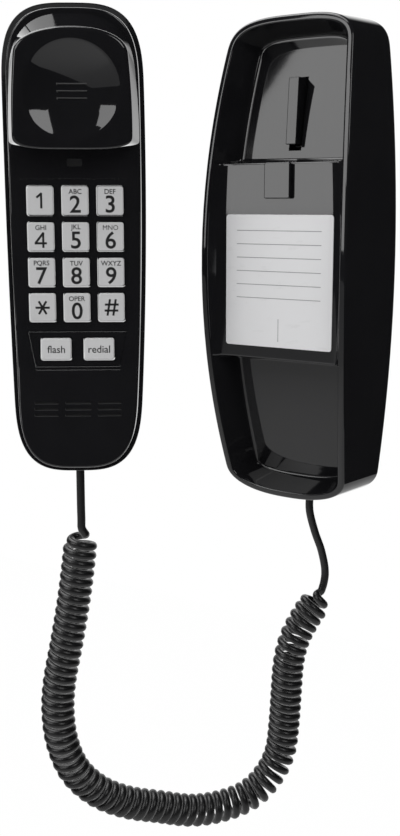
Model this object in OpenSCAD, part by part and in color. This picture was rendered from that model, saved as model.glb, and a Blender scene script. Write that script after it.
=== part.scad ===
// Corded telephone: a wall base with an arched rim, a push-button handset and a curly cord.
// The base hangs on the wall plane y = 0 and faces -Y. Sizes are in millimetres, +Z is up.

/* [Base] */
// Width of the base at its middle
base_w = 77; // [76:0.5:80]
// Height of the base
base_h = 222; // [220:1:228]
// Depth of the base at its middle, wall to rim
base_d = 46; // [45:0.5:50]
// Radius of the sideways bulge of the base
base_bulge_r = 835; // [780:5:1200]
// Radius of the arched rim, seen from the side
arch_r = 373; // [360:1:420]
// Extra half width at the wall, the draft of the sides
base_draft = 1; // [0.5:0.1:2]
// Wall of the base cover
base_wall = 2.4; // [1.8:0.1:2.8]
// Width of the rim lip
rim_w = 3.2; // [3:0.1:3.6]
// Drop from the rim to the shelf
shelf_drop = 7; // [6.5:0.1:8]
// Height of the shelf
shelf_h = 89.4; // [84:0.2:90]
// Upper edge of the shelf above the middle of the base
shelf_top = 46; // [44:0.2:47]
// Drop from the rim to the pocket floors
pocket_drop = 16.5; // [16:0.1:17.2]
// Thickness of the back plate
plate_t = 2.5; // [2:0.1:3]
// Distance between the two keyholes
keyhole_pitch = 100; // [90:1:110]
// Radius of the keyhole slots, for a wall screw's shank
keyhole_slot_r = 2.2; // [1.8:0.1:2.6]
// Radius of the keyhole entries, for a wall screw's head
keyhole_entry_r = 4.5; // [4:0.1:5]

/* [Hook] */
// Width of the hook tab
tab_w = 13.6; // [12:0.2:15]
// Height of the hook tab
tab_h = 16; // [14:0.2:17]
// Hook tab in front of the shelf
tab_proud = 2.4; // [1.5:0.1:2.6]
// Travel of the hook tab
tab_travel = 4; // [3:0.5:5]
// Width of the hook lever
lever_w = 5.5; // [4.5:0.1:6]
// Length of the hook lever from its pin to its tip
lever_l = 30; // [28:0.5:31]
// Lever in front of the pocket floor at its pin
lever_rise = 4.2; // [4:0.1:4.6]
// Radius of the lever's pin
lever_pin_r = 1.2; // [1:0.1:1.5]

/* [Handset] */
// Width of the handset at its seam
handset_w = 62.8; // [61:0.2:64]
// Height of the handset
handset_h = 203.5; // [202:0.5:205]
// Wall of the handset shells
handset_wall = 2.2; // [1.8:0.1:2.5]
// Step from the back shell's edge in to the front shell
shell_step = 2; // [1.8:0.1:2.4]
// Seam behind the key face at the middle
seam_back = 4; // [3.6:0.1:4.5]
// Depth of the back shell behind the seam
back_d = 19; // [18:0.5:22]
// Ear block in front of the key face, at the dish
ear_rise = 15.5; // [15:0.1:16]
// Radius of the ear dish
dish_r = 20.8; // [20:0.1:21.4]
// Depth of the ear dish
dish_d = 5.4; // [5:0.1:5.6]
// Rise of the ramp under the function keys
ramp_rise = 3; // [2.5:0.1:3.2]
// Rise of the mouth end in front of the key face
mouth_rise = 16; // [15:0.2:17]
// Height of the hung handset's middle above the base's middle
hang_z = 10; // [9.8:0.1:10.2]
// Gap between the hung handset's seam and the rim
hang_gap = 1.2; // [1:0.1:1.6]
// Turn of the handset from the photographed place to the cradle
swing = 142; // [140:1:145]

/* [Keys] */
// Width of a number key
key_w = 11.6; // [11.2:0.1:12.2]
// Height of a number key
key_h = 12.6; // [12.2:0.1:13.2]
// Spacing of the key columns
key_pitch_x = 15.5; // [15.2:0.1:16]
// Spacing of the key rows
key_pitch_z = 15.8; // [15.6:0.1:16]
// Width of a function key
func_w = 13.4; // [12.6:0.1:13.8]
// Height of a function key
func_h = 9.5; // [9:0.1:10]
// Spacing of the two function keys
func_pitch = 19.4; // [19:0.1:20]
// Key tops in front of the face
key_proud = 1.4; // [1.2:0.1:1.6]
// Travel of a key
key_travel = 1.2; // [1:0.1:1.4]
// Clearance round each key
key_gap = 0.4; // [0.3:0.05:0.5]

/* [Card] */
// Width of the index card
card_w = 57; // [50:0.5:58]
// Height of the index card
card_h = 60.5; // [55:0.5:62]
// Thickness of the index card
card_t = 0.4; // [0.3:0.1:0.6]

/* [Cord] */
// Diameter of the cord
cord_d = 3.4; // [3:0.1:3.6]
// Outer diameter of the curls
curl_d = 15.6; // [14:0.1:16.5]
// Step of the curls on a straight stretch
curl_step = 4.35; // [4.2:0.05:5]

/* [Hidden] */
$fn = 48;

// Places of the outline points: each end is an arc of this many steps
end_steps = 7;
// Cuts run past a face by this much
past = 1;
// Free space between pieces that are slipped together
slip = 0.25;
// Rounding of the rim's outer edge
rim_round = 1.2;
// Inward lean of the shelf's sides, of the pockets' sides and of the steps between them
shelf_draft = 3;
pocket_draft = 5;
step_lean = 1;

// Handset stations along its height, from its own middle
ear_bottom = 41;
ear_top = 91.4;
ear_tilt = 0.0875;
dish_z = 65.2;
ramp_top = -38;
ramp_bottom = -54.4;
row_1_z = 19.1;
func_z = -47;
mic_z = -73.5;
handset_top = handset_h / 2;
board_front = 6.6;
board_t = 1.6;

// Hinge of the swing, in the base's frame
hinge_x = -44.3;
hinge_y = -58.85;

// Base stations
rim_y = -base_d;
shelf_y = rim_y + shelf_drop;
shelf_bottom = shelf_top - shelf_h;
hang_y = rim_y - hang_gap + seam_back;
lever_pin_z = 54;
lever_tip_z = lever_pin_z + lever_l;
floor_y = rim_y + pocket_drop + pow(lever_pin_z, 2) / (2 * arch_r);
tip_floor_y = rim_y + pocket_drop + pow(lever_tip_z, 2) / (2 * arch_r);
lever_pin_y = floor_y + 7;
lever_slot_gap = 0.8;
lever_lean = 2.2;
lever_hub_r = 2.9;
pin_clearance = 0.05;
ear_half = 3.4;
ear_t = 2.5;
ear_x = lever_w / 2 + lever_slot_gap + ear_t / 2;
tab_stem_w = 7;
tab_stem_h = 6;
keeper_lip = 2.5;
keeper_t = 1.5;
keeper_y = shelf_y + base_wall + slip;
keyhole_slot_l = 10;
post_r = 3.4;
post_x = 24;
post_z = 29;
screw_r = 1.3;
screw_l = 12;
screw_head_r = 2.6;
screw_head_h = 1.8;
card_below = 23.1;

// Pieces on the back plate
board_w = 40;
base_board_h = 70;
board_stand = 6;
board_pin_r = 2.2;
board_hole_x = 15;
board_hole_z = 30;
switch_w = 12;
switch_h = 14;
switch_d = 7;
switch_z = 69;
plunger_r = 1.5;
plunger_l = 4.6;
ringer_r = 12;
ringer_t = 2.5;
ringer_gap = 1;

// Jacks and plugs
jack_w = 12;
jack_d = 9;
jack_l = 13;
socket_w = 7;
socket_d = 6;
socket_l = 11;
jack_y = -7.5;
base_jack_x = 0.4;
line_jack_x = -13.2;
base_jack_z = -base_h / 2 + 9;
ringer_z = base_jack_z + jack_l + ringer_gap + ringer_r;
base_plug_z = -base_h / 2 - 2;
handset_jack_y = -1;
handset_jack_z = -handset_top + 7;
handset_plug_z = -handset_top - 0.5;

// Handset details
seam_gap = 0.1;
edge_bevel = 1.2;
ear_skirt = 11.8;
handset_screw_at = [[-18, 88], [18, 88], [-16, -84], [16, -84]];
jack_seat_w = 10;
jack_seat_h = 7;
jack_seat_z = handset_jack_z + 9;
screw_bite = 4;
screw_seat = 6;
board_seat_x = 24.5;
board_seat_z = [-26, 4];
board_seat_r = 1.4;
board_prop_x = 18;
board_prop_z = 25;
handset_board_w = 50;
handset_board_h = 98;
handset_board_z = -8;
membrane_w = 46;
membrane_h = 84;
membrane_z = -12;
membrane_t = 1;
key_flange = 0.7;
key_stem_r = 2.4;
key_stem_end = board_front - membrane_t - slip - key_travel;
receiver_y = dish_d + 4.9 - ear_rise;
receiver_t = 4;
receiver_r = 15;
magnet_t = 2.4;
magnet_r = 9;
gasket_t = 2.6;
gasket_r = 14;
gasket_hole_r = 10;
mic_y = -4.1;
mic_lip = 1;
mic_t = 4.5;
mic_r = 4.8;
mic_boot_t = 1.7;
sound_slot_w = 13;
sound_slot_h = 1.2;
sound_slot_pitch = 3;
mic_slot_w = 11.6;
mic_slot_h = 2;
mic_slot_step = 3.8;
mic_slot_pitch = 14.2;
catch_z = 35.6;
catch_w = 7.4;
catch_h = 3.3;
catch_depth = 0.8;

// Keys: three columns and four rows, then two function keys, each at [x, z]
number_names = ["key_1", "key_2", "key_3", "key_4", "key_5", "key_6",
    "key_7", "key_8", "key_9", "key_star", "key_0", "key_hash"];
number_keys = [for (row = [0 : 3]) for (column = [-1 : 1])
    [column * key_pitch_x, row_1_z - row * key_pitch_z]];
function_names = ["key_flash", "key_redial"];
function_keys = [for (side = [-1, 1]) [side * func_pitch / 2, func_z]];

// The cord hangs in an upright plane between its two plugs
handset_end = [hinge_x, hinge_y] + turned([-hinge_x, hang_y - handset_jack_y - hinge_y], -swing);
base_end = [base_jack_x, jack_y];
cord_start = [handset_end[0], handset_end[1], 0];
cord_turn = atan2(base_end[1] - handset_end[1], base_end[0] - handset_end[0]);
cord_span = norm(base_end - handset_end);
function turned(v, a) = [v[0] * cos(a) - v[1] * sin(a), v[0] * sin(a) + v[1] * cos(a)];

// Hand-chosen points of its middle line: across from the handset's plug, and height
cord_route = [[0, hang_z + handset_plug_z], [0, -110], [0, -120], [-1, -132], [-4, -154], [-8, -176],
    [-12, -196], [-13, -212], [-11, -228], [-5, -243], [6, -255], [20, -263], [36, -268],
    [54, -273], [71, -273], [85, -269], [95, -260], [101, -248], [103, -232], [104, -214], [105, -200],
    [108, -188], [114, -177], [121, -167], [124, -156], [122, -144], [118, -133],
    [cord_span, -122], [cord_span, base_plug_z]];
route_steps = 6;
lead_l = 28;
end_lead_l = 52;
lead_step = 4;
curl_in = 10;
curl_gap = 0.75;
curl_open = 0.8;
bend_span = 6;

// Curved ends of the outlines: height of the arc, and its power, where 2 is an ellipse
base_top_arc = [16, 3.3];
base_low_arc = [13, 2.4];
handset_top_arc = [36, 3.15];
handset_low_arc = [46, 3.8];
ear_foot_arc = [33, 3.1];
ear_head_arc = [23, 3.3];
ear_low_arc = [7, 4];
side_stop = 62;
ear_foot_in = shell_step + 0.3;
ear_foot_top = handset_top - shell_step - 0.2;
ear_head_in = 5.5;
ear_bulge_r = 320;
ear_bulge_z = 50;
handset_bulge_r = 2000;
handset_bulge_z = 25;

// Rounding of the handset's back: in from the edge, and forward of the back's middle
back_steps = [[13, 0], [6, 1.8], [2, 6], [0.4, 11.4]];

// An outline is [width, bulge radius, bulge height, top, top arc, bottom, bottom arc,
// heights along the sides]; edge moves the shelf's two ends inwards
function base_shape(edge) = [base_w, base_bulge_r, 0, base_h / 2, base_top_arc, -base_h / 2, base_low_arc,
    [base_h / 2 - base_top_arc[0], side_stop, shelf_top + step_lean - edge, shelf_top - edge, 0,
        shelf_bottom + edge, shelf_bottom - step_lean + edge, -side_stop, -base_h / 2 + base_low_arc[0]]];
base_outline = base_shape(0);
handset_outline = [handset_w, handset_bulge_r, handset_bulge_z, handset_top, handset_top_arc,
    -handset_top, handset_low_arc,
    [handset_top - handset_top_arc[0], side_stop, ear_bottom, 0, ramp_top, ramp_bottom,
        -handset_top + handset_low_arc[0]]];
ear_foot = [handset_w - 2 * ear_foot_in, ear_bulge_r, ear_bulge_z, ear_foot_top, ear_foot_arc,
    ear_bottom, ear_low_arc, [ear_foot_top - ear_foot_arc[0], side_stop, ear_bottom + ear_low_arc[0]]];
ear_head = [handset_w - 2 * ear_head_in, ear_bulge_r, ear_bulge_z, ear_top, ear_head_arc,
    ear_bottom, ear_low_arc, [ear_top - ear_head_arc[0], side_stop, ear_bottom + ear_low_arc[0]]];

function half_w(o, z) = o[0] / 2 - pow(z - o[2], 2) / (2 * o[1]);

// Points of the right-hand side of an outline, from its top to its bottom
function side_points(o, inset, lean) = concat(
    [for (i = [0 : end_steps - 1])
        let (a = 90 - 90 * i / end_steps)
        let (z = o[3] - o[4][0] + (o[4][0] - inset) * pow(sin(a), 2 / o[4][1]))
        [i == 0 ? 0 : (half_w(o, z) - inset) * pow(cos(a), 2 / o[4][1]), z]],
    [for (z = o[7]) [half_w(o, z) - inset - lean(z), z]],
    [for (i = [1 : end_steps])
        let (a = 90 * i / end_steps)
        let (z = o[5] + o[6][0] - (o[6][0] - inset) * pow(sin(a), 2 / o[6][1]))
        [i == end_steps ? 0 : (half_w(o, z) - inset) * pow(cos(a), 2 / o[6][1]), z]]);

// A closed ring of an outline, where depth gives y and lean a further inset at each height
function ring(o, inset, depth, lean = function (z) 0) =
    let (s = side_points(o, inset, lean))
    concat(
        [for (p = s) [p[0], depth(p[1]), p[1]]],
        [for (i = [len(s) - 2 : -1 : 1]) [-s[i][0], depth(s[i][1]), s[i][1]]]);

// A solid through rings that run from the back to the front
module loft(rings) {
    count = len(rings[0]);
    half = count / 2;
    last = (len(rings) - 1) * count;
    walls = [for (k = [0 : len(rings) - 2]) for (i = [0 : count - 1])
        let (a = k * count + i)
        let (b = k * count + (i + 1) % count)
        each [[a, b, b + count], [a, b + count, a + count]]];
    front = [for (i = [1 : half - 2])
        each [[last + i, last + i + 1, last + count - i - 1],
            [last + i, last + count - i - 1, last + count - i]]];
    back = [for (i = [1 : half - 2])
        each [[count - i, count - i - 1, i + 1], [count - i, i + 1, i]]];
    tips = [[last, last + 1, last + count - 1], [last + half - 1, last + half, last + half + 1],
        [count - 1, 1, 0], [half + 1, half, half - 1]];
    polyhedron([for (r = rings) each r], concat(walls, front, back, tips));
}

// Depths of the arched rim, of the parallel seam of the handset, and of the ear block's and key faces
rim_at = function (z) rim_y + z * z / (2 * arch_r);
seam_at = function (z) seam_back - z * z / (2 * arch_r);
head_at = function (z) -ear_rise - ear_tilt * (z - dish_z);
face_at = function (z) z > ear_bottom ? -ear_skirt * (z - ear_bottom) / (handset_top - ear_bottom)
    : z > ramp_top ? 0
    : z > ramp_bottom ? -ramp_rise * (ramp_top - z) / (ramp_top - ramp_bottom)
    : -ramp_rise - (mouth_rise - ramp_rise) * (ramp_bottom - z) / (ramp_bottom + handset_top);

function level(y) = function (z) y;
function shifted(depth, dy) = function (z) depth(z) + dy;
function between(f, g, t) = function (z) f(z) * (1 - t) + g(z) * t;

// Puts a handset piece where the photograph shows it
module at_handset() {
    translate([hinge_x, hinge_y, 0])
        rotate([0, 0, -swing])
            translate([-hinge_x, hang_y - hinge_y, hang_z])
                rotate([0, 0, 180])
                    children();
}

// A cylinder along Y from one depth to another
module along_y(x, z, y_from, y_to, r) {
    translate([x, y_to, z])
        rotate([90, 0, 0])
            cylinder(h = y_to - y_from, r = r);
}

// A box centred on x and z between two depths
module slab(x, z, w, h, y_from, y_to) {
    translate([x - w / 2, y_from, z - h / 2])
        cube([w, y_to - y_from, h]);
}

// The tray: a shelf in the middle, a deep pocket above it and one below; grow moves its walls out
module tray(grow) {
    o = base_shape(grow);
    on_shelf = function (z) z <= shelf_top - grow && z >= shelf_bottom + grow;
    floor_at = function (z) (on_shelf(z) ? shelf_y : rim_at(z) + pocket_drop) + grow;
    lean_at = function (z) on_shelf(z) ? shelf_draft - pocket_draft : 0;
    loft([
        ring(o, rim_w + pocket_draft - grow, floor_at, lean_at),
        ring(o, rim_w - grow, shifted(rim_at, -past))]);
}

module base_cover() {
    color("#101012")
        difference() {
            loft([
                ring(base_outline, -base_draft, level(0)),
                ring(base_outline, 0, shifted(rim_at, rim_round)),
                ring(base_outline, rim_round, rim_at)]);
            tray(0);
            difference() {
                loft([
                    ring(base_outline, base_wall - base_draft, level(past)),
                    ring(base_outline, base_wall, shifted(rim_at, base_wall))]);
                tray(base_wall);
                base_posts();
                lever_ears();
            }
            for (x = [-post_x, post_x])
                for (z = [-post_z, post_z])
                    along_y(x, z, -plate_t - screw_l, past, screw_r);
            lever_slot();
            tab_slot();
            base_jack_cuts();
        }
}

// Screw posts under the shelf
module base_posts() {
    for (x = [-post_x, post_x])
        for (z = [-post_z, post_z])
            along_y(x, z, shelf_y, -plate_t, post_r);
}

// Two ears under the upper pocket that carry the lever's pin
module lever_ears() {
    for (side = [-1, 1])
        difference() {
            slab(side * ear_x, lever_pin_z, ear_t, 2 * ear_half,
                floor_y + base_wall / 2, lever_pin_y + ear_half);
            lever_pin_bore(lever_pin_r);
        }
}

module lever_pin_bore(r) {
    translate([0, lever_pin_y, lever_pin_z])
        rotate([0, 90, 0])
            cylinder(h = 4 * ear_x, r = r, center = true);
}

// Way through the upper pocket's floor for the lever
module lever_slot() {
    slab(0, (lever_pin_z + lever_tip_z) / 2, lever_w + 2 * lever_slot_gap, lever_l + 2 * ear_half,
        floor_y - 2 * past, tip_floor_y + base_wall + 2 * past);
}

// Way through the shelf for the hook tab's stem
module tab_slot() {
    slab(0, shelf_top - tab_h / 2 - tab_travel / 2,
        tab_stem_w + 2 * slip, tab_stem_h + tab_travel + 2 * slip,
        shelf_y - past, shelf_y + base_wall + past);
}

// Openings in the bottom end for the two sockets
module base_jack_cuts() {
    for (x = [base_jack_x, line_jack_x])
        slab(x, -base_h / 2, socket_w, 2 * (base_jack_z + base_h / 2),
            jack_y - socket_d / 2, jack_y + socket_d / 2);
}

module base_back_plate() {
    color("#18181a")
        difference() {
            union() {
                loft([
                    ring(base_outline, base_wall - base_draft + slip, level(0)),
                    ring(base_outline, base_wall - base_draft + slip, level(-plate_t))]);
                board_posts(-board_stand - plate_t, board_pin_r);
                jack_seats();
            }
            for (x = [-post_x, post_x])
                for (z = [-post_z, post_z]) {
                    along_y(x, z, -plate_t - past, past, screw_r + slip);
                    along_y(x, z, -screw_head_h, past, screw_head_r + slip);
                }
            for (z = [-keyhole_pitch / 2, keyhole_pitch / 2])
                keyhole(z);
        }
}

// A keyhole whose slot is centred on z, with the entry for the screw's head below it
module keyhole(z) {
    slot_half = keyhole_slot_l / 2 - keyhole_slot_r;
    for (dz = [-slot_half, slot_half])
        along_y(0, z + dz, -plate_t - past, past, keyhole_slot_r);
    slab(0, z, 2 * keyhole_slot_r, 2 * slot_half, -plate_t - past, past);
    along_y(0, z - slot_half - keyhole_entry_r, -plate_t - past, past, keyhole_entry_r);
}

// Stand-offs for the base's circuit board, as posts of radius r up to y_top
module board_posts(y_top, r) {
    for (x = [-board_hole_x, board_hole_x])
        for (z = [-board_hole_z, board_hole_z])
            along_y(x, z, y_top, -plate_t, r);
}

// Blocks between the plate and the jacks
module jack_seats() {
    for (x = [base_jack_x, line_jack_x])
        slab(x, base_jack_z + jack_l / 2, jack_w - past, jack_l - past,
            jack_y + jack_d / 2, -plate_t / 2);
}

module base_screws() {
    color("silver")
        for (x = [-post_x, post_x])
            for (z = [-post_z, post_z]) {
                along_y(x, z, -plate_t - screw_l + past, -screw_head_h, screw_r);
                along_y(x, z, -screw_head_h, -screw_head_h / 4, screw_head_r);
            }
}

module index_card() {
    color("white")
        slab(0, shelf_top - card_below - card_h / 2, card_w, card_h, shelf_y - card_t, shelf_y);
}

module hook_tab() {
    z_mid = shelf_top - tab_h / 2;
    color("#141416") {
        slab(0, z_mid, tab_w, tab_h, shelf_y - tab_proud, shelf_y - slip);
        slab(0, z_mid, tab_stem_w, tab_stem_h, shelf_y - tab_proud / 2, keeper_y + keeper_t);
        slab(0, z_mid, tab_stem_w + 2 * keeper_lip, tab_stem_h + keeper_lip,
            keeper_y, keeper_y + keeper_t);
    }
}

// Side shape of the lever in the plane x = 0, with its hub round the pin
module hook_lever() {
    front_y = floor_y - lever_rise;
    color("#141416")
        difference() {
            union() {
                rotate([90, 0, 90])
                    linear_extrude(height = lever_w, center = true)
                        polygon([
                            [lever_pin_y, lever_pin_z],
                            [front_y, lever_pin_z + slip],
                            [front_y + lever_lean, lever_tip_z],
                            [tip_floor_y + base_wall + past, lever_tip_z],
                            [lever_pin_y + lever_hub_r / 2, lever_pin_z + lever_hub_r]]);
                rotate([90, 0, 90])
                    translate([lever_pin_y, lever_pin_z, 0])
                        cylinder(h = lever_w, r = lever_hub_r, center = true);
            }
            lever_pin_bore(lever_pin_r + pin_clearance);
        }
}

module hook_lever_pin() {
    color("silver")
        translate([0, lever_pin_y, lever_pin_z])
            rotate([0, 90, 0])
                cylinder(h = 2 * ear_x + ear_t, r = lever_pin_r, center = true);
}

module hook_switch() {
    color("#2a2a2c") {
        slab(0, switch_z, switch_w, switch_h, -plate_t - switch_d, -plate_t);
        along_y(0, switch_z, -plate_t - switch_d - plunger_l, -plate_t - switch_d, plunger_r);
    }
}

module base_circuit_board() {
    color("darkgreen")
        slab(0, 0, board_w, base_board_h, -plate_t - board_stand - board_t, -plate_t - board_stand);
}

module ringer() {
    color("goldenrod") {
        along_y(0, ringer_z, -plate_t - ringer_t, -plate_t, ringer_r);
        along_y(0, ringer_z, -plate_t - 2 * ringer_t, -plate_t - ringer_t, ringer_r / 2);
    }
}

// A jack block with a socket open at its lower end
module jack_block(x, y, z_low) {
    difference() {
        slab(x, z_low + jack_l / 2, jack_w, jack_l, y - jack_d / 2, y + jack_d / 2);
        slab(x, z_low + socket_l / 2 - past, socket_w, socket_l + 2 * past,
            y - socket_d / 2, y + socket_d / 2);
    }
}

// A plug that fills a socket and stands out below it to z_end
module plug(x, y, z_low, z_end) {
    z_top = z_low + socket_l - past;
    slab(x, (z_top + z_end) / 2, socket_w - 2 * slip, z_top - z_end,
        y - socket_d / 2 + slip, y + socket_d / 2 - slip);
}

module line_jack() {
    color("#1c1c1e")
        jack_block(line_jack_x, jack_y, base_jack_z);
}

module base_cord_jack() {
    color("#1c1c1e")
        jack_block(base_jack_x, jack_y, base_jack_z);
}

module cord_plug_base() {
    color("#202022")
        plug(base_jack_x, jack_y, base_jack_z, base_plug_z);
}

module handset_cord_jack() {
    color("#1c1c1e")
        at_handset()
            jack_block(0, handset_jack_y, handset_jack_z);
}

module cord_plug_handset() {
    color("#202022")
        at_handset()
            plug(0, handset_jack_y, handset_jack_z, handset_plug_z);
}

// Outer form of the front shell: a stepped-in lid with the ear block and the mouth end
module front_form() {
    loft([
        ring(handset_outline, shell_step, shifted(seam_at, -seam_gap)),
        ring(handset_outline, shell_step + edge_bevel / 4, between(seam_at, face_at, 0.7)),
        ring(handset_outline, shell_step + edge_bevel, face_at)]);
    loft([
        ring(ear_foot, 0, shifted(seam_at, -2 * seam_gap)),
        ring(ear_head, 0, shifted(head_at, edge_bevel)),
        ring(ear_head, edge_bevel, head_at)]);
}

// Inner space of the front shell
module front_space() {
    loft([
        ring(handset_outline, shell_step + handset_wall, shifted(seam_at, past)),
        ring(handset_outline, shell_step + handset_wall + edge_bevel, shifted(face_at, handset_wall))]);
    difference() {
        loft([
            ring(ear_foot, handset_wall, shifted(seam_at, past)),
            ring(ear_head, handset_wall, shifted(head_at, handset_wall))]);
        dish(handset_wall);
    }
}

// The ball that hollows the ear dish, larger by grow
module dish(grow) {
    ball_r = (dish_r * dish_r + dish_d * dish_d) / (2 * dish_d);
    lean = atan(ear_tilt);
    translate([0, -ear_rise - (ball_r - dish_d) * cos(lean), dish_z - (ball_r - dish_d) * sin(lean)])
        sphere(r = ball_r + grow, $fn = 96);
}

module handset_front_shell() {
    color("#0e0e10")
        at_handset()
            difference() {
                front_form();
                difference() {
                    front_space();
                    for (x = [-board_seat_x, board_seat_x])
                        for (z = board_seat_z)
                            along_y(x, z, 0, board_front, board_seat_r);
                    handset_posts();
                }
                dish(0);
                for (k = number_keys)
                    key_hole(k, key_w, key_h);
                for (k = function_keys)
                    key_hole(k, func_w, func_h);
                for (dz = [-sound_slot_pitch, 0, sound_slot_pitch])
                    slab(0, dish_z + dz, sound_slot_w, sound_slot_h,
                        -ear_rise, -ear_rise + dish_d + 2 * handset_wall);
                for (x = [-mic_slot_pitch, 0, mic_slot_pitch])
                    for (dz = [-mic_slot_step / 2, mic_slot_step / 2])
                        slab(x, mic_z + dz, mic_slot_w, mic_slot_h,
                            -mouth_rise, face_at(mic_z) + 2 * handset_wall);
                slab(0, catch_z, catch_w, catch_h, -past, catch_depth);
                handset_screw_holes(screw_r);
            }
}

// Opening in the face for a key at [x, z]
module key_hole(k, w, h) {
    y = face_at(k[1]);
    slab(k[0], k[1], w + 2 * key_gap, h + 2 * key_gap, y - 2 * handset_wall, y + 2 * handset_wall);
}

// Screw posts of the front shell, up to the seam
module handset_posts() {
    for (p = handset_screw_at)
        along_y(p[0], p[1], -ear_rise, seam_at(p[1]) - seam_gap, post_r);
}

module handset_screw_holes(r) {
    for (p = handset_screw_at)
        along_y(p[0], p[1], seam_at(p[1]) - screw_bite, seam_at(p[1]) + back_d, r);
}

// The back shell's form, or with a wall's thickness its inner space, which ends at the seam's ledge
module back_form(wall) {
    loft(concat(
        [for (s = back_steps) ring(handset_outline, s[0] + wall, shifted(seam_at, back_d - wall - s[1]))],
        [ring(handset_outline, wall > 0 ? shell_step + wall : 0, shifted(seam_at, wall > 0 ? -past : 0))]));
}

module handset_back_shell() {
    color("#0e0e10")
        at_handset()
            difference() {
                back_form(0);
                difference() {
                    back_form(handset_wall);
                    for (x = [-board_prop_x, board_prop_x])
                        for (z = [-board_prop_z, board_prop_z])
                            along_y(x, z, board_front + board_t, back_d + seam_back, board_seat_r);
                    for (p = handset_screw_at)
                        along_y(p[0], p[1], seam_at(p[1]), seam_at(p[1]) + back_d, post_r);
                    slab(0, jack_seat_z, jack_seat_w, jack_seat_h, handset_jack_y + jack_d / 2, back_d);
                }
                handset_screw_holes(screw_r + slip);
                for (p = handset_screw_at)
                    along_y(p[0], p[1], seam_at(p[1]) + screw_seat, seam_at(p[1]) + 2 * back_d,
                        screw_head_r + slip);
                slab(0, -handset_top, socket_w, 2 * (handset_top + handset_jack_z),
                    handset_jack_y - socket_d / 2, handset_jack_y + socket_d / 2);
            }
}

module handset_screws() {
    color("silver")
        at_handset()
            for (p = handset_screw_at) {
                seat = seam_at(p[1]) + screw_seat;
                along_y(p[0], p[1], seam_at(p[1]) - screw_bite + past, seat, screw_r);
                along_y(p[0], p[1], seat, seat + screw_head_h, screw_head_r);
            }
}

module receiver() {
    color("#333336")
        at_handset() {
            along_y(0, dish_z, receiver_y, receiver_y + receiver_t, receiver_r);
            along_y(0, dish_z, receiver_y + receiver_t, receiver_y + receiver_t + magnet_t, magnet_r);
        }
}

module receiver_gasket() {
    color("#222224")
        at_handset()
            difference() {
                along_y(0, dish_z, receiver_y - gasket_t, receiver_y, gasket_r);
                along_y(0, dish_z, receiver_y - gasket_t - past, receiver_y + past, gasket_hole_r);
            }
}

module microphone() {
    color("silver")
        at_handset()
            along_y(0, mic_z, mic_y + mic_lip, mic_y + mic_lip + mic_t, mic_r);
}

module microphone_boot() {
    color("#222224")
        at_handset()
            difference() {
                along_y(0, mic_z, mic_y, mic_y + mic_lip + mic_t, mic_r + mic_boot_t);
                along_y(0, mic_z, mic_y + mic_lip, mic_y + mic_lip + mic_t + past, mic_r);
                along_y(0, mic_z, mic_y - past, mic_y + mic_lip + past, mic_r / 2);
            }
}

module key_membrane() {
    color("gray")
        at_handset()
            slab(0, membrane_z, membrane_w, membrane_h, board_front - membrane_t, board_front);
}

module handset_circuit_board() {
    color("darkgreen")
        at_handset()
            slab(0, handset_board_z, handset_board_w, handset_board_h, board_front, board_front + board_t);
}

// A key at [x, z]: its cap through the face, its flange behind it, and the stem that presses the membrane
module key(k, w, h) {
    top = face_at(k[1]) - key_proud;
    flange = face_at(k[1] + h / 2 + key_flange) + handset_wall + slip;
    color("#c8c8ca")
        at_handset() {
            slab(k[0], k[1], w, h, top, flange + key_flange);
            slab(k[0], k[1], w + 2 * key_flange, h + 2 * key_flange, flange, flange + key_flange);
            along_y(k[0], k[1], flange, key_stem_end, key_stem_r);
        }
}

// A smooth curve through route points: Catmull-Rom, point t of the stretch after point i
function route_point(i, t) =
    let (n = len(cord_route))
    let (a = cord_route[max(i - 1, 0)])
    let (b = cord_route[i])
    let (c = cord_route[min(i + 1, n - 1)])
    let (d = cord_route[min(i + 2, n - 1)])
    (2 * b + (c - a) * t + (2 * a - 5 * b + 4 * c - d) * t * t + (3 * b - 3 * c + d - a) * t * t * t) / 2;

route_fine = concat(
    [for (i = [0 : len(cord_route) - 2]) for (j = [0 : route_steps - 1]) route_point(i, j / route_steps)],
    [cord_route[len(cord_route) - 1]]);
route_lengths = [for (i = 0, s = 0;
    i < len(route_fine);
    s = s + (i + 1 < len(route_fine) ? norm(route_fine[i + 1] - route_fine[i]) : 0), i = i + 1) s];
route_across = [for (i = [0 : len(route_fine) - 1]) [route_lengths[i], route_fine[i][0]]];
route_height = [for (i = [0 : len(route_fine) - 1]) [route_lengths[i], route_fine[i][1]]];
route_l = route_lengths[len(route_lengths) - 1];

// Place, direction and bend of the cord's middle line at length s
function line_at(s) = [lookup(s, route_across), lookup(s, route_height)];
function unit(v) = v / norm(v);
function way_at(s) = unit(line_at(min(s + bend_span, route_l)) - line_at(max(s - bend_span, 0)));
function bend_at(s) =
    norm(way_at(min(s + bend_span, route_l)) - way_at(max(s - bend_span, 0))) / (2 * bend_span);

// Share of the full curl at length s: 0 on the leads and 1 in the coil
function smooth(t) = let (u = max(0, min(1, t))) u * u * (3 - 2 * u);
function curl_share(s) = smooth((s - lead_l) / curl_in) * smooth((route_l - end_lead_l - s) / curl_in);
curl_r = (curl_d - cord_d) / 2;

// Step of a curl: wider in bends, so that its inner side keeps a gap, and where it opens out
function step_at(s) =
    max(curl_step, (cord_d + curl_gap) / (1 - curl_r * bend_at(s)))
        * (1 + (1 - curl_share(s)) * curl_open);
function in_coil(s) = s > lead_l && s < route_l - end_lead_l;
curl_rings = 8;
cord_stations = [for (s = 0, a = 0;
    s < route_l - lead_step / 2;
    a = a + (in_coil(s) ? 360 / curl_rings : 0),
    s = s + (in_coil(s) ? step_at(s) / curl_rings : lead_step)) [s, a]];

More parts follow.
